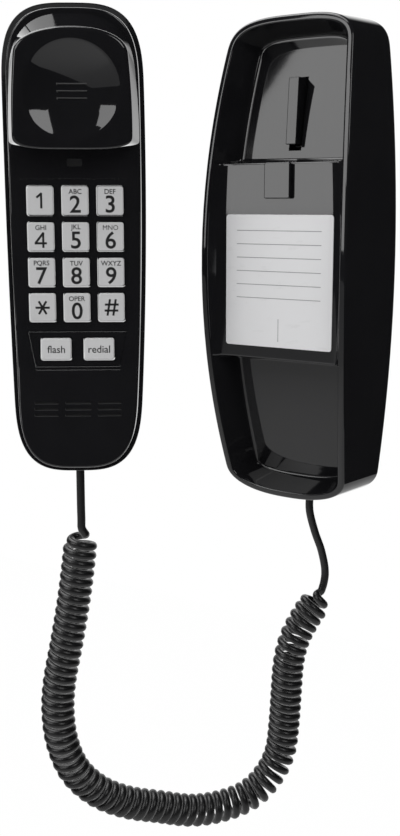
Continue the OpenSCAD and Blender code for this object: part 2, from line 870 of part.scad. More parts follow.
// Centre of the cord at a station, in the hanging plane: across, out of the plane, up
function curl_out(st) =
    let (w = way_at(st[0]))
    [-w[1] * cos(st[1]), sin(st[1]), w[0] * cos(st[1])];
function cord_centre(st) =
    let (p = line_at(st[0]))
    [p[0], 0, p[1]] + curl_out(st) * curl_r * curl_share(st[0]);

// Length of a line through points, from point i on
function line_length(c, i = 0) = i + 1 < len(c) ? norm(c[i + 1] - c[i]) + line_length(c, i + 1) : 0;

// One unbroken tube of six sides along the cord
module curly_cord() {
    sides = 6;
    ends = [route_l, cord_stations[len(cord_stations) - 1][1]];
    stations = concat(cord_stations, [ends]);
    centres = [for (st = stations) cord_centre(st)];
    last = len(centres) - 1;
    points = [for (i = [0 : last])
        let (ahead = unit(centres[min(i + 1, last)] - centres[max(i - 1, 0)]))
        let (way = i == 0 || i == last ? [0, 0, i == 0 ? -1 : 1] : ahead)
        let (out = curl_out(stations[i]))
        let (u = unit(out - way * (out * way)))
        let (v = cross(way, u))
        for (k = [0 : sides - 1])
            centres[i] + (u * cos(360 * k / sides) + v * sin(360 * k / sides)) * cord_d / 2];
    walls = [for (i = [0 : last - 1]) for (k = [0 : sides - 1])
        let (a = i * sides + k)
        let (b = i * sides + (k + 1) % sides)
        each [[a, b + sides, b], [a, a + sides, b + sides]]];
    caps = [for (k = [1 : sides - 2])
        each [[0, k, k + 1], [last * sides, last * sides + k + 1, last * sides + k]]];
    gaps = [for (i = [0 : last - curl_rings]) for (j = [i + curl_rings - 2 : last])
        norm(centres[i] - centres[j]) - cord_d];
    echo(str("curls ", stations[last][1] / 360, ", least gap of the cord to itself ", min(gaps), " mm"));
    echo(str("length of the cord ", line_length(centres), " mm"));
    color("#1a1a1c")
        translate(cord_start)
            rotate([0, 0, cord_turn])
                polyhedron(points, concat(walls, caps));
}

base_cover();
base_back_plate();
base_screws();
index_card();
hook_tab();
hook_lever();
hook_lever_pin();
hook_switch();
base_circuit_board();
ringer();
line_jack();
base_cord_jack();
handset_front_shell();
handset_back_shell();
handset_screws();
receiver();
receiver_gasket();
microphone();
microphone_boot();
key_membrane();
handset_circuit_board();
handset_cord_jack();
for (i = [0 : len(number_keys) - 1])
    key(number_keys[i], key_w, key_h);
for (i = [0 : len(function_keys) - 1])
    key(function_keys[i], func_w, func_h);
cord_plug_handset();
cord_plug_base();
curly_cord();
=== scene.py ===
"""A corded wall telephone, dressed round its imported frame.

The base hangs on the wall plane y = 0 and faces -Y. The handset is held in front of it, to its left, and a
curly cord hangs between them. Sizes are in millimetres until a mesh is made.
"""

import logging
import math
from bisect import bisect
from collections.abc import Callable, Sequence
from dataclasses import dataclass
from enum import Enum
from typing import Any

import bmesh
import bpy
from mathutils import Matrix, Vector


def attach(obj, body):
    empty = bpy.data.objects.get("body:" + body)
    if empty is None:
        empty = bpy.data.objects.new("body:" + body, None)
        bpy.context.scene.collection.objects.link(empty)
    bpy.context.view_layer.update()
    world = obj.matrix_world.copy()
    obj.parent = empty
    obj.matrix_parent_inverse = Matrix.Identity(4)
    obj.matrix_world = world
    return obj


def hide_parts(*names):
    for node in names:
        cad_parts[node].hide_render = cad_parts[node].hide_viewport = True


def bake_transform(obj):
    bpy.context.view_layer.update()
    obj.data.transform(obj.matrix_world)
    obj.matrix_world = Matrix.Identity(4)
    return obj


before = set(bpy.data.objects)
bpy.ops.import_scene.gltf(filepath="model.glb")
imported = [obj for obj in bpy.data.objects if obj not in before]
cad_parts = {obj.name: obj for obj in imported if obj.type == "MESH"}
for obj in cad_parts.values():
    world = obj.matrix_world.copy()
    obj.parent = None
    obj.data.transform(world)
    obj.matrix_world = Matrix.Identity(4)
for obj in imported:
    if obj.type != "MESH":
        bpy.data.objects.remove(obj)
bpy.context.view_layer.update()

MM = 0.001
TO_METRES = Matrix.Scale(MM, 4)
SHARP_ANGLE = math.radians(32)
WELD = 1e-4
# Where the support columns of a closed ring go, as shares of its width from the left
SUPPORTS = (0.0075, 0.9925)
# The photograph shows no image of the handset in the base, so only these bodies are mirrored in the gloss.
MIRRORED = ("base", "hook_lever", "hook_tab")
LOG = logging.getLogger("telephone")

Flat = tuple[float, float]
Point = tuple[float, float, float]
Colour = tuple[float, float, float, float]
Depth = Callable[[float], float]
Strokes = tuple[tuple[Flat, Flat], ...]


class Value:
    """An output socket whose operators add Math nodes to its tree."""

    def __init__(self, shader: "Shader", socket: bpy.types.NodeSocket) -> None:
        """Hold a socket and its tree."""
        self.shader = shader
        self.socket = socket

    def _math(self, operation: str, left: Any, right: Any) -> "Value":
        """Add one Math node."""
        return self.shader.node("ShaderNodeMath", {"operation": operation}, {0: left, 1: right})

    def __add__(self, other: Any) -> "Value":
        """Sum."""
        return self._math("ADD", self, other)

    __radd__ = __add__

    def __mul__(self, other: Any) -> "Value":
        """Product."""
        return self._math("MULTIPLY", self, other)

    __rmul__ = __mul__

    def __sub__(self, other: Any) -> "Value":
        """Difference."""
        return self._math("SUBTRACT", self, other)

    def __rsub__(self, other: Any) -> "Value":
        """Difference from a number."""
        return self._math("SUBTRACT", other, self)

    def maximum(self, other: Any) -> "Value":
        """The greater of two."""
        return self._math("MAXIMUM", self, other)


class Shader:
    """A node tree that is filled from Python expressions."""

    def __init__(self, tree: bpy.types.NodeTree) -> None:
        """Take over a tree and empty it."""
        self.tree = tree
        tree.nodes.clear()

    def node(self, kind: str, settings: dict[str, Any] | None = None,
             inputs: dict[Any, Any] | None = None, output: Any = 0) -> Value:
        """Add one node.

        Args:
            kind: The node's type.
            settings: Its properties, and "stops" for a ramp's colours.
            inputs: Numbers, colours or values for its sockets, by name or number.
            output: The socket that is returned.

        Returns:
            That output as a value.
        """
        made = self.tree.nodes.new(kind)
        for name, setting in (settings or {}).items():
            if name == "stops":
                self._set_stops(made.color_ramp, setting)
            else:
                setattr(made, name, setting)
        for key, given in (inputs or {}).items():
            if isinstance(given, Value):
                self.tree.links.new(given.socket, made.inputs[key])
            else:
                made.inputs[key].default_value = given
        return Value(self, made.outputs[output]) if len(made.outputs) else Value(self, None)

    @staticmethod
    def _set_stops(ramp: bpy.types.ColorRamp, stops: Sequence[tuple[float, Colour]]) -> None:
        """Set a ramp's two or more stops.

        Args:
            ramp: The ramp.
            stops: Each stop's place and colour.
        """
        while len(ramp.elements) < len(stops):
            ramp.elements.new(1.0)
        for element, (place, colour) in zip(ramp.elements, stops):
            element.position = place
            element.color = colour

    def noise(self, scale: float, detail: float = 3.0, coords: Value | None = None) -> Value:
        """Noise of a scale per metre on the piece's own coordinates."""
        place = coords or self.node("ShaderNodeTexCoord", output="Object")
        return self.node("ShaderNodeTexNoise", {}, {"Vector": place, "Scale": scale, "Detail": detail})

    def mix(self, factor: Any, first: Any, second: Any) -> Value:
        """Mix two colours."""
        return self.node("ShaderNodeMix", {"data_type": "RGBA"}, {0: factor, 6: first, 7: second}, 2)

    def bump(self, height: Value, strength: float, distance: float) -> Value:
        """A normal from a height."""
        return self.node("ShaderNodeBump", {}, {
            "Height": height, "Strength": strength, "Distance": distance}, "Normal")


def shade(colour: Colour, factor: float) -> Colour:
    """A colour made darker or lighter."""
    return (*(min(1.0, part * factor) for part in colour[:3]), 1.0)


@dataclass(frozen=True)
class Finish:
    """A surface's look: colour, gloss, and the grain that varies them."""

    name: str
    colour: Colour
    roughness: float
    coat: float = 0.0
    coat_roughness: float = 0.03
    metallic: float = 0.0
    cloud_scale: float = 60.0
    cloud_depth: float = 0.12
    grain_scale: float = 1500.0
    grain_depth: float = 0.00002
    grain_strength: float = 0.1
    rough_spread: float = 0.06

    def build(self) -> bpy.types.Material:
        """Make the material once.

        Returns:
            The material, from an earlier call if there was one.
        """
        made = bpy.data.materials.get(self.name)
        if made:
            return made
        made = bpy.data.materials.new(self.name)
        made.use_nodes = True
        shader = Shader(made.node_tree)
        cloud = shader.noise(self.cloud_scale)
        grain = shader.noise(self.grain_scale, 2.0)
        colour = self.pattern(shader, shader.mix(
            cloud, shade(self.colour, 1 - self.cloud_depth), shade(self.colour, 1 + self.cloud_depth)))
        roughness = self.roughness + (cloud - 0.5) * self.rough_spread + (grain - 0.5) * self.rough_spread
        surface = shader.node("ShaderNodeBsdfPrincipled", {}, {
            "Base Color": colour, "Roughness": roughness, "Metallic": self.metallic,
            "Coat Weight": self.coat, "Coat Roughness": self.coat_roughness,
            "Normal": shader.bump(grain, self.grain_strength, self.grain_depth)})
        shader.node("ShaderNodeOutputMaterial", {}, {"Surface": surface})
        return made

    def pattern(self, shader: Shader, colour: Value) -> Value:
        """The colour with the finish's own pattern; plain here."""
        return colour


@dataclass(frozen=True)
class PaperFinish(Finish):
    """Card stock with faint fibres."""

    fibre_scale: float = 420.0
    fibre_stretch: Point = (0.3, 1.0, 1.0)
    fibre_band: Flat = (0.62, 0.72)
    fibre_share: float = 0.4
    fibre: Colour = (0.66, 0.66, 0.665, 1.0)

    def pattern(self, shader: Shader, colour: Value) -> Value:
        """Add fibres, darker flecks stretched sideways.

        Args:
            shader: The material's tree.
            colour: The plain colour.

        Returns:
            The colour with its fibres.
        """
        place = shader.node("ShaderNodeTexCoord", output="Object")
        stretched = shader.node("ShaderNodeMapping", {}, {"Vector": place, "Scale": self.fibre_stretch})
        low, high = self.fibre_band
        flecks = shader.node("ShaderNodeValToRGB", {"stops": [(low, (0, 0, 0, 1)), (high, (1, 1, 1, 1))]}, {
            0: shader.noise(self.fibre_scale, 4.0, stretched)})
        return shader.mix(flecks * self.fibre_share, colour, self.fibre)


@dataclass(frozen=True)
class SpeckledFinish(Finish):
    """Moulded key plastic with faint specks."""

    speck_scale: float = 2200.0
    speck_size: float = 0.2
    speck_share: float = 1.2
    speck: Colour = (0.4, 0.4, 0.405, 1.0)

    def pattern(self, shader: Shader, colour: Value) -> Value:
        """Add specks, small spots of a darker grey.

        Args:
            shader: The material's tree.
            colour: The plain colour.

        Returns:
            The colour with its specks.
        """
        place = shader.node("ShaderNodeTexCoord", output="Object")
        spots = shader.node("ShaderNodeTexVoronoi", {"feature": "F1"}, {
            "Vector": place, "Scale": self.speck_scale}, "Distance")
        return shader.mix((self.speck_size - spots).maximum(0.0) * self.speck_share, colour, self.speck)


class Look(Enum):
    """The finishes of the telephone."""

    SHELL = Finish("gloss_shell", (0.0085, 0.0085, 0.0095, 1), 0.05, coat=0.25, cloud_depth=0.2,
                   grain_scale=900.0, grain_strength=0.02, rough_spread=0.02)
    PLATE = Finish("matt_plate", (0.016, 0.016, 0.017, 1), 0.48, grain_scale=2600.0, grain_depth=0.00006,
                   grain_strength=0.4)
    KEY = SpeckledFinish("key_plastic", (0.56, 0.56, 0.565, 1), 0.38, coat=0.1, cloud_depth=0.03)
    INK = Finish("key_ink", (0.012, 0.012, 0.013, 1), 0.45)
    CARD = PaperFinish("card_stock", (0.74, 0.74, 0.75, 1), 0.6, cloud_depth=0.02, grain_strength=0.25)
    RULE = Finish("card_rules", (0.26, 0.26, 0.27, 1), 0.6)
    CORD = Finish("cord_vinyl", (0.006, 0.006, 0.0065, 1), 0.34, cloud_depth=0.2, grain_scale=1300.0,
                  grain_depth=0.00004, grain_strength=0.25)
    STEEL = Finish("plated_steel", (0.62, 0.62, 0.63, 1), 0.3, metallic=1.0, grain_scale=3000.0)
    BRASS = Finish("sounder_brass", (0.72, 0.55, 0.27, 1), 0.3, metallic=1.0)
    BOARD = Finish("board_lacquer", (0.02, 0.12, 0.05, 1), 0.35, cloud_depth=0.3)
    RUBBER = Finish("soft_rubber", (0.008, 0.008, 0.009, 1), 0.8, grain_strength=0.3)

    def material(self) -> bpy.types.Material:
        """The finish's material."""
        return self.value.build()


@dataclass(frozen=True)
class Outline:
    """Rounded outline of a shell, seen from the front."""

    width: float
    bulge_r: float
    bulge_z: float
    # Each end's height, and the length and the power of its rounding
    top: float
    top_arc: Flat
    low: float
    low_arc: Flat
    end_steps: int = 26

    def half_width(self, z: float) -> float:
        """Half the width at a height."""
        return self.width / 2 - (z - self.bulge_z) ** 2 / (2 * self.bulge_r)

    def side(self, inset: float, heights: Sequence[float], leans: Sequence[float] = ()) -> list[Flat]:
        """Points of the right-hand side, from top to bottom.

        Args:
            inset: How far in from the outline.
            heights: Heights along the side, from the upper arc's end to the lower arc's.
            leans: A further inset at each height.

        Returns:
            Points (x, z), the first and last on the middle line.
        """
        ends = []
        for way, end, (rise, power) in ((1, self.top, self.top_arc), (-1, self.low, self.low_arc)):
            arc = []
            for i in range(self.end_steps):
                a = math.pi / 2 * (1 - i / self.end_steps)
                z = end - way * rise + way * (rise - inset) * math.sin(a) ** (2 / power)
                arc.append(((self.half_width(z) - inset) * math.cos(a) ** (2 / power) if i else 0.0, z))
            ends.append(arc)
        middle = [(self.half_width(z) - inset - lean, z)
                  for z, lean in zip(heights, leans or [0.0] * len(heights))]
        return ends[0] + middle + ends[1][::-1]

    def between(self) -> Flat:
        """Heights where the upper arc ends and the lower one starts."""
        return self.top - self.top_arc[0], self.low + self.low_arc[0]


def spread(start: float, end: float, count: int) -> list[float]:
    """Evenly spaced numbers from start to end, both included."""
    return [start + (end - start) * i / (count - 1) for i in range(count)]


def bend(first: Flat, corner: Flat, last: Flat, steps: int = 6) -> list[Flat]:
    """Round the corner between two straight runs.

    Args:
        first: Where the first run ends.
        corner: Where the runs would meet.
        last: Where the second run starts.
        steps: How many steps the bend has.

    Returns:
        The bend's points, both ends included.
    """
    return [tuple((1 - t) ** 2 * a + 2 * t * (1 - t) * b + t * t * c for a, b, c in zip(first, corner, last))
            for t in (i / steps for i in range(steps + 1))]


def smooth_line(points: Sequence[Vector], steps: int) -> list[Vector]:
    """Draw a smooth curve through points.

    Args:
        points: The points.
        steps: How many steps lie between two of them.

    Returns:
        The curve's points, both ends included.
    """
    line = []
    for i in range(len(points) - 1):
        a, b, c, d = points[max(i - 1, 0)], points[i], points[i + 1], points[min(i + 2, len(points) - 1)]
        line += [0.5 * (2 * b + (c - a) * t + (2 * a - 5 * b + 4 * c - d) * t ** 2
                        + (3 * b - a - 3 * c + d) * t ** 3) for t in (j / steps for j in range(steps))]
    return [*line, points[-1]]


def linked(name: str, data: bpy.types.ID) -> bpy.types.Object:
    """Make an object of some data and link it to the scene."""
    made = bpy.data.objects.new(name, data)
    bpy.context.scene.collection.objects.link(made)
    return made


class Solid:
    """Points and faces that are gathered for a mesh."""

    def __init__(self) -> None:
        """Start with nothing."""
        self.points: list[Point] = []
        self.faces: list[tuple[int, ...]] = []

    def raw(self, name: str) -> bpy.types.Mesh:
        """Make the mesh from its points as they are."""
        mesh = bpy.data.meshes.new(name)
        mesh.from_pydata(self.points, [], self.faces)
        return mesh


class Skin(Solid):
    """A closed mesh that is grown ring by ring."""

    def __init__(self) -> None:
        """Start with no rings."""
        super().__init__()
        self.rings: list[list[int]] = []

    def ring(self, points: Sequence[Point]) -> None:
        """Add a ring and join it to the last one.

        Args:
            points: The ring's points, as many as in every ring.
        """
        start, count = len(self.points), len(points)
        self.points += points
        new = list(range(start, start + count))
        if self.rings:
            old = self.rings[-1]
            self.faces += [(old[i], old[(i + 1) % count], new[(i + 1) % count], new[i]) for i in range(count)]
        self.rings.append(new)

    def side_ring(self, side: Sequence[Flat], depths: Sequence[float]) -> None:
        """Add a ring from the points of a right-hand side and their depths."""
        right = [(x, y, z) for (x, z), y in zip(side, depths)]
        self.ring(right + [(-x, y, z) for x, y, z in reversed(right[1:-1])])

    def wall(self, side: Sequence[Flat], depth: Depth) -> None:
        """Add a ring from the points of a right-hand side whose depth follows the height."""
        self.side_ring(side, [depth(z) for _, z in side])

    def close(self, which: int) -> None:
        """Close a ring with strips from its left to its right.

        Args:
            which: The ring's number.
        """
        ring = self.rings[which]
        count = len(ring)
        half = count // 2
        rows = [[ring[0]]]
        for i in range(1, half):
            left, right = self.points[ring[count - i]], self.points[ring[i]]
            row = [ring[count - i]]
            for t in SUPPORTS:
                self.points.append(tuple(a + (b - a) * t for a, b in zip(left, right)))
                row.append(len(self.points) - 1)
            rows.append(row + [ring[i]])
        rows.append([ring[half]])
        for upper, lower in zip(rows, rows[1:]):
            if len(upper) == 1:
                self.faces += [(upper[0], lower[j], lower[j + 1]) for j in range(len(lower) - 1)]
            elif len(lower) == 1:
                self.faces += [(upper[j + 1], upper[j], lower[0]) for j in range(len(upper) - 1)]
            else:
                self.faces += [(upper[j], lower[j], lower[j + 1], upper[j + 1])
                               for j in range(len(upper) - 1)]

    def fan(self, which: int, middle: Point) -> None:
        """Close a ring with triangles.

        Args:
            which: The ring's number.
            middle: The point that they share.
        """
        ring = self.rings[which]
        self.points.append(middle)
        last = len(self.points) - 1
        self.faces += [(ring[i], ring[(i + 1) % len(ring)], last) for i in range(len(ring))]

    def piece(self, name: str, place: Matrix = TO_METRES) -> bpy.types.Object:
        """Make the piece at the origin, put in place from millimetres in its own frame."""
        return finished(name, self.raw(name), place)


def finished(name: str, mesh: bpy.types.Mesh, place: Matrix) -> bpy.types.Object:
    """Weld a mesh, turn its faces outwards and put it in place.

    Args:
        name: The piece's name.
        mesh: Its mesh.
        place: Where the mesh goes.

    Returns:
        The new object, at the origin.
    """
    build = bmesh.new()
    build.from_mesh(mesh)
    bmesh.ops.remove_doubles(build, verts=build.verts, dist=WELD)
    bmesh.ops.recalc_face_normals(build, faces=build.faces)
    build.transform(place)
    build.to_mesh(mesh)
    build.free()
    return linked(name, mesh)


def baked(piece: bpy.types.Object) -> None:
    """Put what a piece's modifiers make into its mesh, and remove them.

    Args:
        piece: The piece.
    """
    mesh = bpy.data.meshes.new_from_object(piece.evaluated_get(bpy.context.evaluated_depsgraph_get()))
    mesh.name = piece.data.name
    piece.modifiers.clear()
    piece.data = mesh


def smooth(piece: bpy.types.Object) -> None:
    """Shade smooth, with edges sharp past an angle and flat faces kept flat.

    Args:
        piece: The piece.
    """
    piece.data.shade_smooth()
    piece.data.set_sharp_from_angle(angle=SHARP_ANGLE)
    piece.modifiers.new("weighted", "WEIGHTED_NORMAL").keep_sharp = True
    baked(piece)


def coat(mesh: bpy.types.Mesh, *looks: Look) -> None:
    """Give a mesh the materials of some finishes, and no others."""
    mesh.materials.clear()
    for look in looks:
        mesh.materials.append(look.material())


def cut(piece: bpy.types.Object, cutter: bpy.types.Object, look: Look | None = None) -> None:
    """Take a cutter's volume out of a piece and delete the cutter.

    Args:
        piece: The piece.
        cutter: The cutter.
        look: The finish of the new faces, if it isn't the piece's own.
    """
    if look:
        coat(cutter.data, look)
    bpy.context.view_layer.update()
    boolean = piece.modifiers.new("cut", "BOOLEAN")
    boolean.operation = "DIFFERENCE"
    boolean.solver = "EXACT"
    boolean.material_mode = "TRANSFER" if look else "INDEX"
    boolean.object = cutter
    baked(piece)
    bpy.data.objects.remove(cutter)


def bevel(piece: bpy.types.Object, width: float, segments: int) -> None:
    """Round a piece's sharp edges and shade it smooth.

    Args:
        piece: The piece.
        width: How wide the rounding is, in millimetres.
        segments: How many strips it has.
    """
    rounded = piece.modifiers.new("round", "BEVEL")
    rounded.width = width * MM
    rounded.segments = segments
    rounded.limit_method = "ANGLE"
    rounded.angle_limit = SHARP_ANGLE
    baked(piece)
    smooth(piece)


def dress(piece: bpy.types.Object, body: str, look: Look, nodes: Sequence[str] = ()) -> None:
    """Give a piece its finish, its body and the nodes that it stands for.

    Args:
        piece: The finished piece.
        body: The CAD body that it rides on.
        look: The finish of its first material slot, unless it has one.
        nodes: The CAD nodes that it replaces.
    """
    if not piece.data.materials:
        coat(piece.data, look)
    piece.visible_glossy = body in MIRRORED
    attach(piece, body)
    if nodes:
        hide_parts(*nodes)
    LOG.info("%s on %s: %d faces", piece.name, body, len(piece.data.polygons))


class Blocks(Solid):
    """A mesh of separate prisms, used as a cutter or as a simple piece."""

    def prism(self, front: Sequence[Point], back: Sequence[Point]) -> None:
        """Add a prism.

        Args:
            front: The loop of its one face.
            back: The loop of its other face, of as many points.
        """
        start, count = len(self.points), len(front)
        self.points += [*front, *back]
        self.faces.append(tuple(range(start, start + count)))
        self.faces.append(tuple(range(start + 2 * count - 1, start + count - 1, -1)))
        for i in range(count):
            j = (i + 1) % count
            self.faces.append((start + i, start + count + i, start + count + j, start + j))

    def slab(self, loop: Sequence[Flat], y_from: Depth, y_to: Depth) -> None:
        """Add a prism on a loop between two depths that follow the height."""
        self.prism([(x, y_from(z), z) for x, z in loop], [(x, y_to(z), z) for x, z in loop])

    def box(self, x: float, z: float, width: float, height: float, y_from: float, y_to: float) -> None:
        """Add a box centred on x and z between two depths."""
        corners = ((-1, -1), (1, -1), (1, 1), (-1, 1))
        self.slab([(x + a * width / 2, z + b * height / 2) for a, b in corners],
                  lambda _: y_from, lambda _: y_to)

    def rod(self, x: float, z: float, radius: float, y_from: float, y_to: float, sides: int = 40) -> None:
        """Add a round rod along Y."""
        turns = [math.tau * i / sides for i in range(sides)]
        self.slab([(x + radius * math.cos(a), z + radius * math.sin(a)) for a in turns],
                  lambda _: y_from, lambda _: y_to)

    def bar(self, start: Flat, end: Flat, width: float, face: Depth, proud: float, depth: float) -> None:
        """Add a straight bar along a face.

        Args:
            start: Where it starts.
            end: Where it ends.
            width: Its width.
            face: Depth of the face by height.
            proud: How far it stands out of the face.
            depth: How far it is sunk in the face.
        """
        along = Vector((end[0] - start[0], end[1] - start[1])).normalized()
        off = Vector((-along.y, along.x)) * (width / 2)
        corners = ((start, -1), (end, -1), (end, 1), (start, 1))
        self.slab([(x + way * off.x, z + way * off.y) for (x, z), way in corners],
                  lambda z: face(z) - proud, lambda z: face(z) + depth)

    def mesh(self, name: str, place: Matrix = TO_METRES) -> bpy.types.Mesh:
        """Make the mesh, put in place from millimetres in its own frame.

        Args:
            name: The mesh's name.
            place: Where it goes.

        Returns:
            The mesh, in metres.
        """
        mesh = self.raw(name)
        mesh.transform(place)
        return mesh

    def piece(self, name: str, place: Matrix = TO_METRES) -> bpy.types.Object:
        """Make the piece at the origin, put in place from millimetres in its own frame."""
        return finished(name, self.mesh(name, place), Matrix())


def rounded_loop(x: float, z: float, width: float, height: float, corner: float, steps: int = 5) -> list[Flat]:
    """A rectangle with round corners.

    Args:
        x: Its middle across.
        z: Its middle up.
        width: Its width.
        height: Its height.
        corner: The radius of its corners.
        steps: How many steps each corner has.

    Returns:
        Its points, in turn.
    """
    loop = []
    for quarter, (sx, sz) in enumerate(((1, 1), (-1, 1), (-1, -1), (1, -1))):
        for i in range(steps + 1):
            a = math.pi / 2 * (quarter + i / steps)
            loop.append((x + sx * (width / 2 - corner) + corner * math.cos(a),
                         z + sz * (height / 2 - corner) + corner * math.sin(a)))
    return loop


@dataclass
class Camera:
    """The camera at the photograph's viewing angle."""

    place: Point = (283.0, -496.0, 28.0)
    azimuth: float = 35.58
    pitch: float = 10.42
    lens: float = 50.3
    sensor: float = 36.0
    near: float = 0.01

    def build(self) -> None:
        """Make the camera and set it as the scene's."""
        data = bpy.data.cameras.new("camera")
        data.lens = self.lens
        data.sensor_width = self.sensor
        data.clip_start = self.near
        camera = linked("camera", data)
        camera.location = Vector(self.place) * MM
        camera.rotation_euler = (math.radians(90 - self.pitch), 0.0, math.radians(self.azimuth))
        bpy.context.scene.camera = camera


@dataclass(frozen=True)
class Softbox:
    """A soft studio lamp: where it stands, its size in metres, its brightness and what it faces."""

    name: str
    place: Point
    width: float
    height: float
    brightness: float
    target: Point = (-0.07, -0.1, 0.06)

    def build(self) -> None:
        """Make the lamp."""
        data = bpy.data.lights.new(self.name, "AREA")
        data.shape = "RECTANGLE"
        data.size = self.width
        data.size_y = self.height
        data.energy = self.brightness * math.pi * self.width * self.height
        lamp = linked(self.name, data)
        lamp.location = self.place
        lamp.rotation_mode = "QUATERNION"
        lamp.rotation_quaternion = (Vector(self.target) - Vector(self.place)).to_track_quat("-Z", "Y")
        lamp.visible_camera = False


@dataclass
class Studio:
    """Pale floor, white surround and soft lamps."""

    floor_z: float = -0.62
    floor_from: Flat = (-6.0, -6.0)
    floor_to: Flat = (1.2, 1.0)
    floor_grey: Colour = (0.6, 0.6, 0.6, 1.0)
    floor_white: float = 0.992
    fill: float = 0.5
    dim: float = 0.006
    back_way: Point = (-0.58, 0.80, -0.1)
    back_edge: Flat = (0.72, 0.92)
    lamps: tuple[Softbox, ...] = (
        Softbox("left_box", (-0.60, -1.12, 0.465), 0.345, 0.97, 3.2, (0.0, -0.03, 0.06)),
        Softbox("front_box", (-0.24, -1.29, 0.55), 0.48, 0.5, 3.2),
        Softbox("right_box", (1.0, -0.45, 0.74), 0.5, 0.7, 3.4),
        Softbox("top_box", (-0.51, -0.38, 1.21), 0.93, 0.66, 3.0),
        Softbox("far_left_box", (-0.80, 0.02, 1.05), 0.8, 1.2, 3.0),
    )

    def build(self) -> None:
        """Make the world, the floor and the lamps."""
        self._world()
        self._floor()
        for lamp in self.lamps:
            lamp.build()
        bpy.context.scene.view_settings.view_transform = "Standard"

    def _world(self) -> None:
        """White to the camera and through glass; to gloss, white only behind the object; dim as a lamp."""
        world = bpy.data.worlds.new("studio")
        world.use_nodes = True
        shader = Shader(world.node_tree)
        rays = {name: shader.node("ShaderNodeLightPath", output=name)
                for name in ("Is Camera Ray", "Is Glossy Ray", "Is Transmission Ray")}
        way = shader.node("ShaderNodeTexCoord", output="Generated")
        facing = shader.node("ShaderNodeVectorMath", {"operation": "DOT_PRODUCT"}, {
            0: way, 1: Vector(self.back_way).normalized()}, "Value")
        behind = shader.node("ShaderNodeMapRange", {"interpolation_type": "SMOOTHSTEP"}, {
            "Value": facing, "From Min": self.back_edge[0], "From Max": self.back_edge[1]})
        seen = (rays["Is Camera Ray"] + rays["Is Transmission Ray"]).maximum(rays["Is Glossy Ray"] * behind)
        glossy = rays["Is Glossy Ray"] * (1 - behind)
        base = shader.mix(glossy, (self.fill,) * 3 + (1,), (self.dim,) * 3 + (1,))
        colour = shader.mix(seen, base, (1, 1, 1, 1))
        surface = shader.node("ShaderNodeBackground", {}, {"Color": colour, "Strength": 1.0})
        shader.node("ShaderNodeOutputWorld", {}, {"Surface": surface})
        bpy.context.scene.world = world

    def _floor(self) -> None:
        """A pale floor well below the cord."""
        (left, front), (right, back) = self.floor_from, self.floor_to
        corners = ((left, front), (right, front), (right, back), (left, back))
        mesh = bpy.data.meshes.new("floor")
        mesh.from_pydata([(x, y, self.floor_z) for x, y in corners], [], [(0, 1, 2, 3)])
        floor = linked("floor", mesh)
        made = bpy.data.materials.new("floor")
        made.use_nodes = True
        shader = Shader(made.node_tree)
        camera = shader.node("ShaderNodeLightPath", output="Is Camera Ray")
        pale = shader.node("ShaderNodeBsdfDiffuse", {}, {"Color": self.floor_grey})
        white = shader.node("ShaderNodeEmission", {}, {"Color": (1, 1, 1, 1), "Strength": 1.0})
        surface = shader.node("ShaderNodeMixShader", {}, {
            0: camera * self.floor_white, 1: pale, 2: white})
        shader.node("ShaderNodeOutputMaterial", {}, {"Surface": surface})
        mesh.materials.append(made)


class Grower(Shader):
    """A Geometry Nodes tree with named sizes, which is grown once into a plain mesh."""

    def __init__(self, name: str, sizes: dict[str, float | int]) -> None:
        """Make the tree and its inputs.

        Args:
            name: The tree's name.
            sizes: Its named sizes.
        """
        tree = bpy.data.node_groups.new(name, "GeometryNodeTree")
        super().__init__(tree)
        for way in ("INPUT", "OUTPUT"):
            tree.interface.new_socket("Geometry", in_out=way, socket_type="NodeSocketGeometry")
        self.sizes: dict[str, float | int] = {}
        for label, size in sizes.items():
            kind = "NodeSocketInt" if isinstance(size, int) else "NodeSocketFloat"
            socket = tree.interface.new_socket(label, in_out="INPUT", socket_type=kind)
            self.sizes[socket.identifier] = size
        self.given = tree.nodes.new("NodeGroupInput")

    def size(self, label: str) -> Value:
        """One of the named sizes, or the geometry that the tree is given."""
        return Value(self, self.given.outputs[label])

    def vector(self, x: Any, y: Any, z: Any) -> Value:
        """A vector from three numbers or values."""
        return self.node("ShaderNodeCombineXYZ", {}, {0: x, 1: y, 2: z})

    def grow(self, name: str, spots: Value, shape: Value, look: Look, points: Sequence[Point],
             place: Matrix) -> bpy.types.Object:
        """Put a shape on every spot and make one plain mesh of them.

        Args:
            name: The piece's name.
            spots: The points that carry the shape.
            shape: The shape that repeats.
            look: Its finish.
            points: The given geometry's own points.
            place: Where the mesh goes, from millimetres.

        Returns:
            The new object, at the origin.
        """
        placed = self.node("GeometryNodeInstanceOnPoints", {}, {"Points": spots, "Instance": shape})
        real = self.node("GeometryNodeRealizeInstances", {}, {0: placed})
        done = self.node("GeometryNodeSetMaterial", {}, {"Geometry": real, "Material": look.material()})
        self.node("NodeGroupOutput", {}, {0: done})
        mesh = bpy.data.meshes.new(name)
        mesh.from_pydata(points, [], [])
        piece = linked(name, mesh)
        modifier = piece.modifiers.new("grow", "NODES")
        modifier.node_group = self.tree
        for identifier, size in self.sizes.items():
            modifier[identifier] = size
        baked(piece)
        piece.data.transform(place)
        return piece


